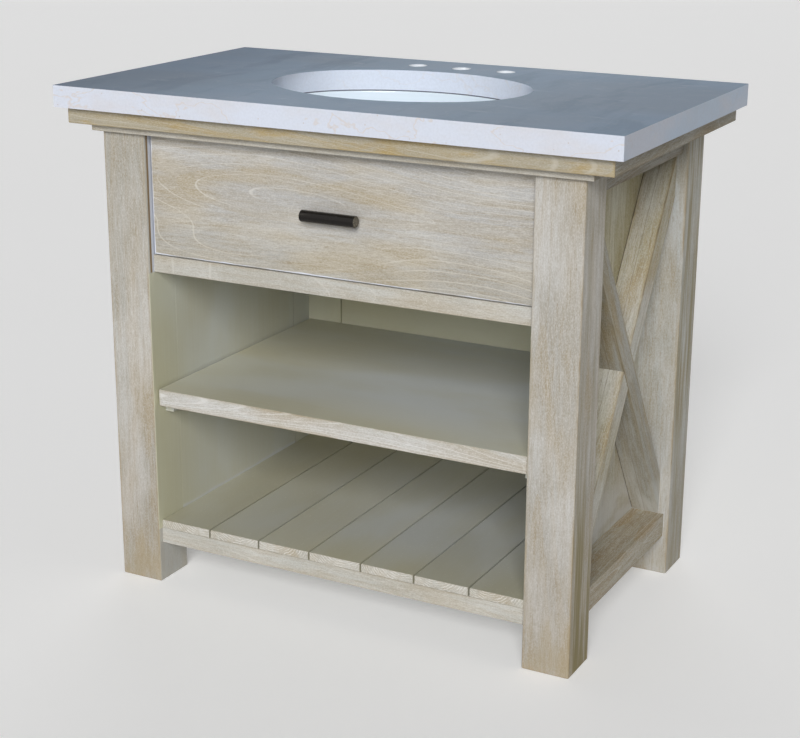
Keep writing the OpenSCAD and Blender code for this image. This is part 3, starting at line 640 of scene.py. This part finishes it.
def stone_material():
    """Honed limestone with clouds, veins and pits; the face's darker blue is partly painted shade and
    reflection.
    """
    settings = chosen("stone")
    material, tree = new_material("honed_stone")
    place = tree.place()
    warp = tree.noise(place, (3, 3, 3), 3, output="Color")
    flow = tree.vector("ADD", place, tree.vector("MULTIPLY", warp, (0.12, 0.12, 0.12)))
    cloud = tree.noise(flow, (5, 6, 9), 5, 0.6)
    smears = tree.noise(flow, (14, 3, 9), 4, 0.6)
    vein = tree.fall(tree.apart(tree.noise(flow, (7, 11, 14), 4, 0.55), 0.5), 0.0, 0.012)
    grain = tree.noise(place, (240, 240, 240))
    pits = tree.add("TexVoronoi", {"Vector": place, "Scale": 55.0}).outputs["Distance"]
    pits = tree.fall(pits, 0.04, 0.10)
    across, _, height = tree.split(place)
    east, _, up = tree.split(tree.add("NewGeometry").outputs["Normal"])

    face = tree.layers(
        settings.face,
        (tree.rise(cloud, 0.36, 0.66, 0.60), COOL_CLOUD),
        (tree.blots(place, (2.2, 3.4, 3), (0.42, 0.62, 0.30)), GREY_DRIFT),
        (tree.rise(smears, 0.50, 0.68, 0.45), [v * 0.74 for v in settings.face]),
        (tree.blots(flow, (9, 40, 9), (0.60, 0.74, 0.50), 5, 0.7), FACE_SCUFF),
        (tree.times(vein, 0.12), FACE_VEIN),
        # Painted shade: the face darker towards its left and its right
        (tree.fall(across, -0.52, -0.05, 0.78), LEFT_STONE_SHADE, "MULTIPLY"),
        (tree.rise(across, 0.15, 0.50, 0.34), RIGHT_STONE_SHADE, "MULTIPLY"),
    )
    inside = tree.fall(tree.measure("DISTANCE", place, cutout_middle()), 0.25, 0.27)
    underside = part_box("countertop")[0].z
    joint = tree.fall(height, underside + 0.0010, underside + 0.0022)
    taps = tree.vector("MULTIPLY", place, (1.0, 4.0, 0.0))
    taps = tree.measure("DISTANCE", taps, (0.0, 4.0 * FAUCET_DEPTH, 0.0))
    edge = tree.layers(
        settings.edge,
        (tree.rise(cloud, 0.42, 0.72, 0.40), settings.warm),
        (tree.times(vein, 0.50), settings.warm),
        (tree.times(pits, 0.45), PIT),
        # Painted shade: the right-hand side faces darker, streaked blue and grey
        (tree.rise(east, 0.5, 0.9, 0.78), tree.mix(tree.rise(smears, 0.42, 0.62), BLUE_SIDE_SHADE, GREY_SIDE_SHADE)),
        # Painted light: the wall of the cut-out paler and bluer than the other edges
        (tree.times(inside, 0.6), CUTOUT_WALL_LIGHT),
        # A dark line at the basin: partly sealant, partly painted shadow in the gap
        (tree.times(inside, joint), BASIN_JOINT_AND_SHADOW),
        (tree.fall(taps, 0.125, 0.135, 0.9), HOLE_WALL),
    )
    # Upward faces take the face colour, which holds painted shade and painted reflection
    tone = tree.mix(tree.rise(up, 0.35, 0.80), edge, face)
    tone = tree.mix(tree.rise(grain, 0.30, 0.75, 0.08), tone, GRAIN_SPECK)
    relief = tree.minus(tree.times(grain, 0.2), pits)
    tree.finish(tone, tree.rise(cloud, 0.3, 0.7, 0.50, 0.38), relief, strength=0.25)
    tree.shade({"Specular IOR Level": 0.01})
    return material


def glaze_material():
    """White vitreous glaze with a faint waviness."""
    glaze = chosen("basin").glaze
    material, tree = new_material("white_glaze")
    place = tree.place()
    cloud = tree.noise(place, (9, 9, 9), 3)
    ripple = tree.noise(place, (70, 70, 70), 1)
    tone = tree.mix(tree.rise(cloud, 0.35, 0.7, 0.5), glaze, [v * 0.965 for v in glaze])
    tree.finish(tone, tree.rise(cloud, 0.3, 0.7, 0.13, 0.07), ripple, strength=0.08)
    tree.shade({"Coat Weight": 0.5, "Coat Roughness": 0.05})
    return material


def bronze_material(name, centre, half):
    """Dark oil-rubbed bronze, bare on its rims and ends."""
    settings = chosen("metal")
    material, tree = new_material(name)
    place, _ = place_board(tree, centre, half, ORIGIN)
    rub = tree.noise(place, (30, 180, 180), 3, 0.65)
    along = tree.math("ABSOLUTE", tree.split(place)[0])
    end = tree.fall(tree.minus(half[0], along), 0.0002, 0.0014)
    bare = tree.times(end, tree.rise(rub, 0.25, 0.6, 1.0, 0.45))
    bare = tree.math("MAXIMUM", bare, tree.rise(rub, 0.60, 0.80, 0.35))
    tone = tree.mix(bare, settings.bronze, settings.worn)
    tree.finish(tone, tree.rise(rub, 0.3, 0.7, 0.30, 0.20), rub, 0.0002, 0.2)
    tree.shade({"Metallic": 0.6, "Specular IOR Level": 0.5})
    return material


def zinc_material():
    """Zinc plate on rolled steel: soft spangles and draw lines."""
    zinc = chosen("metal").zinc
    material, tree = new_material("zinc_plate")
    place = tree.place()
    drawn = tree.noise(place, (900, 6, 900))
    spangle = tree.add("TexVoronoi", {"Vector": place, "Scale": 160.0}).outputs["Color"]
    spangle = tree.add("SeparateColor", {0: spangle}).outputs[0]
    tone = tree.mix(tree.times(spangle, 0.25), zinc, [v * 0.72 for v in zinc])
    tone = tree.mix(tree.rise(drawn, 0.4, 0.7, 0.2), tone, [v * 0.6 for v in zinc])
    tree.finish(tone, tree.rise(drawn, 0.3, 0.7, 0.42, 0.30), drawn, 0.0002, 0.1)
    tree.shade({"Metallic": 1.0})
    return material


# Meshes


def body_of(node):
    return frame["nodes"][node]["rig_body"]


def set_shading(mesh):
    """Curved stretches are smooth and corners stay crisp."""
    for face in mesh.faces:
        face.smooth = True
    for edge in mesh.edges:
        edge.smooth = edge.calc_face_angle(math.pi) < math.radians(CRISP)


def bevel(mesh, edges, width, segments):
    bmesh.ops.bevel(
        mesh, geom=edges, offset=width, offset_type="OFFSET", affect="EDGES", segments=segments, profile=0.5,
        material=-1, clamp_overlap=True,
    )


def ease_edges(mesh, width, segments=2):
    """Rounds every corner of a closed mesh."""
    corners = [edge for edge in mesh.edges if edge.calc_face_angle(0) > math.radians(EASED)]
    bevel(mesh, corners, width, segments)


def link_object(name, data):
    thing = bpy.data.objects.new(name, data)
    bpy.context.scene.collection.objects.link(thing)
    return thing


def new_object(mesh, name):
    data = bpy.data.meshes.new(name)
    mesh.to_mesh(data)
    mesh.free()
    return link_object(name, data)


def round_box_edges(mesh, width):
    """Keeps what lies inside a rounded box, so that the outer edges of a board are rounded."""
    corners = [vertex.co for vertex in mesh.verts]
    low, high = (Vector(pick(c[axis] for c in corners) for axis in range(3)) for pick in (min, max))
    size = high - low + Vector((0.00001, 0.00001, 0.00001))
    box = bmesh.new()
    place = Matrix.Translation((low + high) / 2) @ Matrix.Diagonal((*size, 1))
    bmesh.ops.create_cube(box, size=1, matrix=place)
    bevel(box, box.edges[:], width, 3)
    board, cutter = new_object(mesh, "board"), new_object(box, "rounded_box")
    keep = board.modifiers.new("keep", "BOOLEAN")
    keep.operation, keep.solver, keep.object = "INTERSECT", "EXACT", cutter
    result = bmesh.new()
    result.from_object(board, bpy.context.evaluated_depsgraph_get())
    for thing in (board, cutter):
        bpy.data.meshes.remove(thing.data)
    flatten(result)
    return result


def flatten(mesh):
    """Joins the loose triangles of each flat face."""
    bmesh.ops.remove_doubles(mesh, verts=mesh.verts, dist=SAME_POINT)
    bmesh.ops.dissolve_limit(
        mesh, angle_limit=math.radians(0.5), use_dissolve_boundaries=False, verts=mesh.verts, edges=mesh.edges
    )


def make_piece(mesh, name, node, material):
    """Turns a finished bmesh into the piece that stands for a node."""
    set_shading(mesh)
    piece = new_object(mesh, name)
    even = piece.modifiers.new("even_faces", "WEIGHTED_NORMAL")
    even.keep_sharp = True
    piece.data.materials.append(material)
    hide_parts(node)
    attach(piece, body_of(node))


def eased_piece(node, material, width, leaning=False):
    """A node's shape with the edges of its box eased, or all its edges where it leans."""
    mesh = bmesh.new()
    mesh.from_mesh(frame["nodes"][node].data)
    flatten(mesh)
    if leaning:
        ease_edges(mesh, width)
    else:
        mesh = round_box_edges(mesh, width)
    make_piece(mesh, node + "_eased", node, material)


def board_box(node):
    low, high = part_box(node)
    return (low + high) / 2, (high - low) / 2


def grained(node, grain):
    """Centre, half-size and turn of a board whose grain runs along one axis."""
    centre, half = board_box(node)
    turn = GRAIN[grain]
    turned = Euler(turn, "XYZ").to_matrix() @ half
    return centre, tuple(abs(v) for v in turned), turn


def make_board(look, start, node, grain, seed, slot_name, eased=1.0, **values):
    """A board with a material of its own, and its edges eased by a share of the usual radius."""
    material = board_material(start + node, look, grained(node, grain), seed, **values)
    eased_piece(node, material, chosen("wood").ease * eased)


def limed_board(node, grain, seed, eased=1.0, look=limed, **values):
    make_board(look, "limed_", node, grain, seed, "limed_wood", eased, **values)


def painted_board(node, grain, seed, **values):
    make_board(painted, "painted_", node, grain, seed, "painted_wood", **values)


def part_painted_board(look, node, grain, seed, slot_name="painted_wood", **values):
    make_board(look, "part_painted_", node, grain, seed, slot_name, **values)


def both_sides(make, start, grain, seed, **values):
    for i, side in enumerate(SIDES):
        make(start + side, grain, seed + i, **values)


def plate(nodes):
    """Gives the shapes of nodes the look of zinc plate."""
    zinc = bpy.data.materials.get("zinc_plate") or zinc_material()
    for node in nodes:
        materials = frame["nodes"][node].data.materials
        materials.clear()
        materials.append(zinc)


def oval_point(half_length, half_width, end_radius, angle):
    """The point of an oval of four arcs where its outward direction has the given angle."""
    reach = half_length - end_radius
    side_radius = (half_width**2 + reach**2 - end_radius**2) / (2 * (half_width - end_radius))
    drop = side_radius - half_width
    x, y = math.cos(angle), math.sin(angle)
    if abs(y) * reach < abs(x) * drop:
        return math.copysign(reach, x) + end_radius * x, end_radius * y
    return side_radius * x, side_radius * y - math.copysign(drop, y)


def angles_of(vertices):
    return {vertex: math.atan2(vertex.co.y, vertex.co.x) for vertex in vertices}


def move_ring(ring, grow, scale, height, centre):
    """Sets a ring on the oval, grown past the cut-out and scaled, or on a circle where grow is None."""
    for vertex, angle in ring.items():
        x, y = math.cos(angle), math.sin(angle)
        if grow is not None:
            x, y = oval_point(*(size + grow for size in OVAL), angle)
        vertex.co = Vector((centre.x + x * scale, centre.y + y * scale, height))


def cutout_middle():
    return board_box("sink_basin")[0]


# Pieces


class VANITY_OT_stone_top(bpy.types.Operator):
    """Make the honed stone top with its cut-out and faucet holes"""

    bl_idname = "vanity.stone_top"
    bl_label = "Stone top"

    def execute(self, context):
        low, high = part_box("countertop")
        mesh = bmesh.new()
        corners = [(low.x, low.y), (high.x, low.y), (high.x, high.y), (low.x, high.y)]
        rim = [mesh.verts.new((x, y, high.z)) for x, y in corners]
        for i in range(4):
            mesh.edges.new((rim[i], rim[(i + 1) % 4]))
        oval = bmesh.ops.create_circle(mesh, segments=192, radius=1)["verts"]
        move_ring(angles_of(oval), 0, 1, high.z, cutout_middle())
        for x in FAUCET_ACROSS:
            place = Matrix.Translation((x, FAUCET_DEPTH, high.z))
            bmesh.ops.create_circle(mesh, segments=48, radius=FAUCET_RADIUS, matrix=place)
        bmesh.ops.triangle_fill(mesh, use_beauty=True, use_dissolve=False, edges=mesh.edges)
        bmesh.ops.recalc_face_normals(mesh, faces=mesh.faces)
        if mesh.faces[0].normal.z < 0:
            bmesh.ops.reverse_faces(mesh, faces=mesh.faces)
        everything = mesh.faces[:] + mesh.edges[:] + mesh.verts[:]
        bmesh.ops.solidify(mesh, geom=everything, thickness=high.z - low.z)
        bmesh.ops.recalc_face_normals(mesh, faces=mesh.faces)
        flatten(mesh)
        ease_edges(mesh, chosen("stone").ease, 3)
        make_piece(mesh, "stone_top", "countertop", stone_material())
        return {"FINISHED"}


class VANITY_OT_basin(bpy.types.Operator):
    """Make the glazed basin and plate its clips"""

    bl_idname = "vanity.basin"
    bl_label = "Basin"

    def execute(self, context):
        settings = chosen("basin")
        centre = cutout_middle()
        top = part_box("sink_basin")[1].z
        steps, rim_steps, rim = 22, 4, 0.003
        fullness, floor_share = 0.77, 0.22
        flange, depth, drain = settings.flange_thickness, settings.depth, settings.drain / 2
        drop = depth + settings.floor - flange

        bowl = []
        for i in range(steps + 1):
            turn = math.pi / 2 * i / steps
            shrink = floor_share + (1 - floor_share) * max(math.cos(turn), 0) ** fullness
            bowl.append((shrink, math.sin(turn) ** fullness))
        # Each level: growth past the cut-out, scale and height
        turns = [math.pi / 2 * i / rim_steps for i in range(rim_steps + 1)]
        rings = [(rim * (1 - math.sin(t)), 1, top - rim * (1 - math.cos(t))) for t in turns]
        rings += [(0, shrink, top - depth * sink) for shrink, sink in bowl[1:]]
        hole = [(None, drain, top - depth), (None, drain, top - depth - settings.floor)]
        under = [(settings.wall, shrink, top - flange - drop * sink) for shrink, sink in reversed(bowl)]
        lip = [(settings.flange, 1, top - flange), (settings.flange, 1, top)]
        mesh = bmesh.new()
        bmesh.ops.create_circle(mesh, segments=128, radius=1)
        ring = angles_of(mesh.verts)
        move_ring(ring, *rings[0], centre)
        edges = mesh.edges[:]
        for level in rings[1:] + hole + under + lip + rings[:1]:
            angles = {vertex.co.to_tuple(6): angle for vertex, angle in ring.items()}
            grown = bmesh.ops.extrude_edge_only(mesh, edges=edges)["geom"]
            edges = [part for part in grown if isinstance(part, bmesh.types.BMEdge)]
            points = [part for part in grown if isinstance(part, bmesh.types.BMVert)]
            ring = {point: angles[point.co.to_tuple(6)] for point in points}
            move_ring(ring, *level, centre)
        bmesh.ops.remove_doubles(mesh, verts=mesh.verts, dist=SAME_POINT)
        bmesh.ops.recalc_face_normals(mesh, faces=mesh.faces)
        make_piece(mesh, "basin", "sink_basin", glaze_material())
        plate(["basin_clips"])
        return {"FINISHED"}


class VANITY_OT_cornice(bpy.types.Operator):
    """Make the cornice boards and the bed mouldings under them"""

    bl_idname = "vanity.cornice"
    bl_label = "Cornice"

    def execute(self, context):
        limed_board(
            "cornice_front", "x", 1.7, Pale=(0.40, 0.365, 0.28), Tan=(0.42, 0.31, 0.13),
            Lime=(0.58, 0.55, 0.47), Patches=1.0, Loops=15.0, Figure=0.5, Crowd=2.4, Bloom=0.2,
        )
        limed_board(
            "bed_mould_front", "x", 2.9, Pale=(0.49, 0.475, 0.425), Tan=(0.45, 0.375, 0.25),
            Patches=0.4, Streaks=0.4, Wear=0.2, Crowd=3.0,
        )
        for i, side in enumerate(SIDES):
            # The side cornice and moulding take the darker copy as painted shade
            limed_board("cornice_" + side, "y", 4.3 + i, Patches=0.7, Streaks=0.9, Bloom=0.25, **SHADED)
            limed_board("bed_mould_" + side, "y", 5.6 + i, Patches=0.5, Streaks=0.9, Bloom=0.25, **SHADED)
        return {"FINISHED"}


class VANITY_OT_frame(bpy.types.Operator):
    """Make the four square posts and the rails between them"""

    bl_idname = "vanity.frame"
    bl_label = "Posts and rails"

    def execute(self, context):
        # outer and sink set the painted shade on the outer faces of the posts
        front = dict(
            Tan=(0.405, 0.325, 0.205), Lime=(0.70, 0.69, 0.67), Patches=0.6, Streaks=0.6, Bloom=0.5,
            outer=0.2, sink=3.0, foot=0.5,
        )
        rear = dict(
            Pale=(0.375, 0.38, 0.35), Lime=(0.60, 0.62, 0.62), Patches=0.35, Streaks=0.7, Bloom=0.7,
            outer=0.42, sink=0.6, foot=0.3,
        )
        front_pale = {"left": (0.395, 0.38, 0.335), "right": (0.43, 0.417, 0.382)}
        for i, (end, side) in enumerate(product(("front", "rear"), SIDES)):
            look = dict(front, Pale=front_pale[side]) if end == "front" else rear
            part_painted_board(
                post, f"post_{end}_{side}", "z", 7.1 + 1.9 * i, "limed_wood", eased=1.5,
                inward=(1 - 2 * SIDES.index(side), 0, 0), Loops=13.0, Figure=0.15, Wear=0.8, **look,
            )
        long_rail = dict(Pale=(0.50, 0.50, 0.465), Patches=0.5, Streaks=0.55, Wear=0.2)
        low_rail = dict(SILVER, Pale=(0.35, 0.31, 0.225), Tan=(0.33, 0.235, 0.11), Patches=0.9, Streaks=0.6)
        nodes = ("front_top_rail", "drawer_rail", "bottom_front_rail", "bottom_rear_rail", "centre_bearer")
        for i, node in enumerate(nodes):
            eased = 0.4 if node == "bottom_front_rail" else 1.0
            limed_board(node, "x", 15.2 + 1.3 * i, eased, **long_rail)
        for i, side in enumerate(SIDES):
            # The side top rails take the darker copy as painted shade
            limed_board("side_top_rail_" + side, "y", 22.4 + i, Patches=0.6, Streaks=0.9, **SHADED)
            limed_board("side_bottom_rail_" + side, "y", 25.4 + i, Bloom=0.15, Crowd=2.0, **low_rail)
        return {"FINISHED"}


class VANITY_OT_side_frames(bpy.types.Operator):
    """Make the side panels and the crossed braces over them"""

    bl_idname = "vanity.side_frames"
    bl_label = "Side panels and braces"

    def execute(self, context):
        aged = dict(SILVER, Pale=(0.40, 0.372, 0.262), Patches=0.35, Streaks=0.7, Loops=7.0, Figure=0.1)
        # The long brace is darker as painted shade, by its colour and a share; the short braces have no share
        long_brace, short_brace = (0.34, (0.355, 0.36, 0.33)), (0.0, (0.44, 0.41, 0.30))
        for i, side in enumerate(SIDES):
            out = 2 * i - 1
            part_painted_board(
                panel, "side_panel_" + side, "z", 31.3 + i, "limed_wood", outward=(out, 0, 0),
                seam=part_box("plank_1")[1].z, **aged,
            )
            centre, spread = board_box("brace_long_" + side)
            reach = math.hypot(spread.y, spread.z)
            lean = math.acos(BRACE_WIDTH / 2 / reach) - math.atan2(spread.y, spread.z)
            half = (reach, spread.x, BRACE_WIDTH / 2)
            for j, (name, turn) in enumerate((("long", lean), ("upper", -lean), ("lower", -lean))):
                node = f"brace_{name}_{side}"
                board = (centre, half, (turn, 0, -math.pi / 2))
                dull, pale = long_brace if name == "long" else short_brace
                values = dict(panel_side=out, dull=dull, pale=pale)
                material = board_material("limed_" + node, brace, board, 34.1 + 3 * i + j, **values)
                eased_piece(node, material, BRACE_EASE, leaning=True)
        return {"FINISHED"}


class VANITY_OT_back(bpy.types.Operator):
    """Make the painted boards of the back"""

    bl_idname = "vanity.back"
    bl_label = "Back"

    def execute(self, context):
        cast = (1.06, 1.02, 0.86)
        painted_board("back_panel", "x", 41.2, cast=cast)
        painted_board("back_top_rail", "x", 42.6, cast=cast)
        both_sides(painted_board, "back_stile_", "z", 43.7, cast=cast)
        return {"FINISHED"}


class VANITY_OT_shelves(bpy.types.Operator):
    """Make the planks of the deck, the middle shelf and its cleats"""

    bl_idname = "vanity.shelves"
    bl_label = "Shelves"

    def execute(self, context):
        for i in range(1, 8):
            # Each plank differs a little in tone, and all are darker than the walls as painted shade on their
            # upward faces
            shade = 0.77 + 0.04 * math.sin(5 * i)
            part_painted_board(
                shelf, f"plank_{i}", "y", 50.3 + 1.1 * i, cast=(shade, shade, shade * 1.04), ends=True,
                Pale=(0.465, 0.455, 0.405), Wear=0.0,
            )
        # The shelf is darker and bluer than the walls: painted shade and painted reflection
        part_painted_board(
            shelf, "middle_shelf", "x", 61.2, cast=(0.85, 0.86, 0.92), Pale=(0.575, 0.57, 0.54),
            Lime=(0.80, 0.79, 0.77), Patches=0.35, Figure=0.55, Loops=20.0, Bloom=0.2,
        )
        both_sides(painted_board, "shelf_cleat_", "y", 63.5)
        return {"FINISHED"}


class VANITY_OT_drawer(bpy.types.Operator):
    """Make the drawer front and the painted drawer box"""

    bl_idname = "vanity.drawer"
    bl_label = "Drawer"

    def execute(self, context):
        limed_board(
            "drawer_front", "x", 71.4, look=drawer_front, Pale=(0.475, 0.475, 0.472),
            Tan=(0.45, 0.365, 0.22), Patches=0.5, Figure=0.55, Loops=8.0, Streaks=0.62,
        )
        for i, node in enumerate(("drawer_inner_front", "drawer_backs", "drawer_notch", "drawer_bottom")):
            painted_board(node, "x", 73.1 + i)
        both_sides(painted_board, "drawer_side_", "y", 78.2)
        return {"FINISHED"}


class VANITY_OT_metal(bpy.types.Operator):
    """Plate the telescopic slides and the screws, and make the bronze pull and its standoffs"""

    bl_idname = "vanity.metal"
    bl_label = "Metal parts"

    def execute(self, context):
        plate([f"slide_{rail}_{side}" for rail in ("outer", "middle", "inner") for side in SIDES])
        plate(["pull_screws"])
        for node in ("pull_bar", "pull_standoffs"):
            material = bronze_material("bronze_" + node, *board_box(node))
            eased_piece(node, material, PULL_EASE, leaning=True)
        return {"FINISHED"}


# Stage

# Lamps: name, azimuth, elevation and spread in degrees, strength, and whether they show in reflections
LAMPS = (
    ("key", 22, 27, 24, 2.38, True),
    ("front_fill", 8, 3, 34, 0.20, False),
    ("back_fill", 205, 12, 40, 0.85, False),
)


def towards(azimuth, elevation):
    """Unit vector to an azimuth, counted to the right of the front, and an elevation."""
    level = math.cos(elevation)
    return Vector((math.sin(azimuth) * level, -math.cos(azimuth) * level, math.sin(elevation)))


def seen_directly(tree):
    """1 for what the camera sees, and 0 for what lights other surfaces."""
    path = tree.add("LightPath").outputs
    seen = tree.plus(path["Is Camera Ray"], path["Is Glossy Ray"])
    return tree.math("ADD", seen, path["Is Transmission Ray"], clamp=True)


class VANITY_OT_stage(bpy.types.Operator):
    """Set up the floor, the lamps and the camera"""

    bl_idname = "vanity.stage"
    bl_label = "Stage"

    def execute(self, context):
        settings = chosen("stage")
        self.floor(settings)
        self.world(context.scene)
        for lamp in LAMPS:
            self.lamp(*lamp)
        self.camera(context.scene, settings)
        context.scene.view_settings.view_transform = "Standard"
        return {"FINISHED"}

    def floor(self, settings):
        """A pale floor, a little brighter to the camera than to the object."""
        mesh = bmesh.new()
        bmesh.ops.create_grid(mesh, x_segments=1, y_segments=1, size=40)
        floor = new_object(mesh, "floor")
        material, tree = new_material("pale_floor")
        cloud = tree.blots(tree.place(), (1.5, 1.5, 1.5), (0.3, 0.7, 0.4))
        tone = tree.mix(cloud, settings.floor, [v * 0.985 for v in settings.floor])
        glow = tree.times(seen_directly(tree), 0.22)
        tree.shade({"Base Color": tone, "Roughness": 0.85})
        tree.shade({"Emission Color": WHITE, "Emission Strength": glow})
        floor.data.materials.append(material)

    def world(self, scene):
        world = bpy.data.worlds.new("studio")
        world.use_nodes = True
        scene.world = world
        tree = Tree(world.node_tree)
        given = {"Value": seen_directly(tree), "To Min": 0.12, "To Max": 1.0}
        strength = tree.add("MapRange", given).outputs[0]
        tree.fill(world.node_tree.nodes["Background"].inputs, {"Color": WHITE, "Strength": strength})

    def lamp(self, name, azimuth, elevation, spread, strength, reflected):
        """A wide soft lamp, even over the whole floor."""
        away = towards(math.radians(azimuth), math.radians(elevation))
        data = bpy.data.lights.new(name, "SUN")
        data.angle = math.radians(spread)
        data.energy = strength
        lamp = link_object(name, data)
        lamp.location = Vector((0, 0, 0.45)) + away * 4
        lamp.rotation_euler = away.to_track_quat("Z", "Y").to_euler()
        lamp.visible_glossy = reflected

    def camera(self, scene, settings):
        data = bpy.data.cameras.new("camera")
        data.sensor_fit = "HORIZONTAL"
        data.sensor_width = 36
        data.lens = settings.lens
        camera = link_object("camera", data)
        back = towards(settings.azimuth, settings.elevation)
        right = Vector((math.cos(settings.azimuth), math.sin(settings.azimuth), 0))
        turn = Matrix((right, back.cross(right), back)).transposed() @ Matrix.Rotation(settings.roll, 3, "Z")
        camera.matrix_world = Matrix.Translation(settings.camera_place) @ turn.to_4x4()
        scene.camera = camera


class VANITY_PT_panel(bpy.types.Panel):
    bl_label = "Vanity"
    bl_idname = "VANITY_PT_panel"
    bl_space_type = "VIEW_3D"
    bl_region_type = "UI"
    bl_category = "Vanity"

    def draw(self, context):
        for operator in OPERATORS:
            self.layout.operator(operator.bl_idname)
        for name, group in SETTINGS.items():
            box = self.layout.box()
            settings = getattr(context.scene, name)
            for key in group.__annotations__:
                box.prop(settings, key)


SETTINGS = {
    "vanity_stone": StoneSettings, "vanity_basin": BasinSettings, "vanity_wood": WoodSettings,
    "vanity_paint": PaintSettings, "vanity_metal": MetalSettings, "vanity_stage": StageSettings,
}
OPERATORS = (
    VANITY_OT_stage, VANITY_OT_stone_top, VANITY_OT_basin, VANITY_OT_cornice, VANITY_OT_frame,
    VANITY_OT_side_frames, VANITY_OT_back, VANITY_OT_shelves, VANITY_OT_drawer, VANITY_OT_metal,
)


def register():
    for group in (*SETTINGS.values(), *OPERATORS, VANITY_PT_panel):
        bpy.utils.register_class(group)
    for name, group in SETTINGS.items():
        setattr(bpy.types.Scene, name, PointerProperty(type=group))


def unregister():
    for name in SETTINGS:
        delattr(bpy.types.Scene, name)
    for group in (VANITY_PT_panel, *reversed(OPERATORS), *SETTINGS.values()):
        bpy.utils.unregister_class(group)


def main():
    register()
    for operator in OPERATORS:
        family, name = operator.bl_idname.split(".")
        getattr(getattr(bpy.ops, family), name)()


if __name__ == "__main__":
    main()
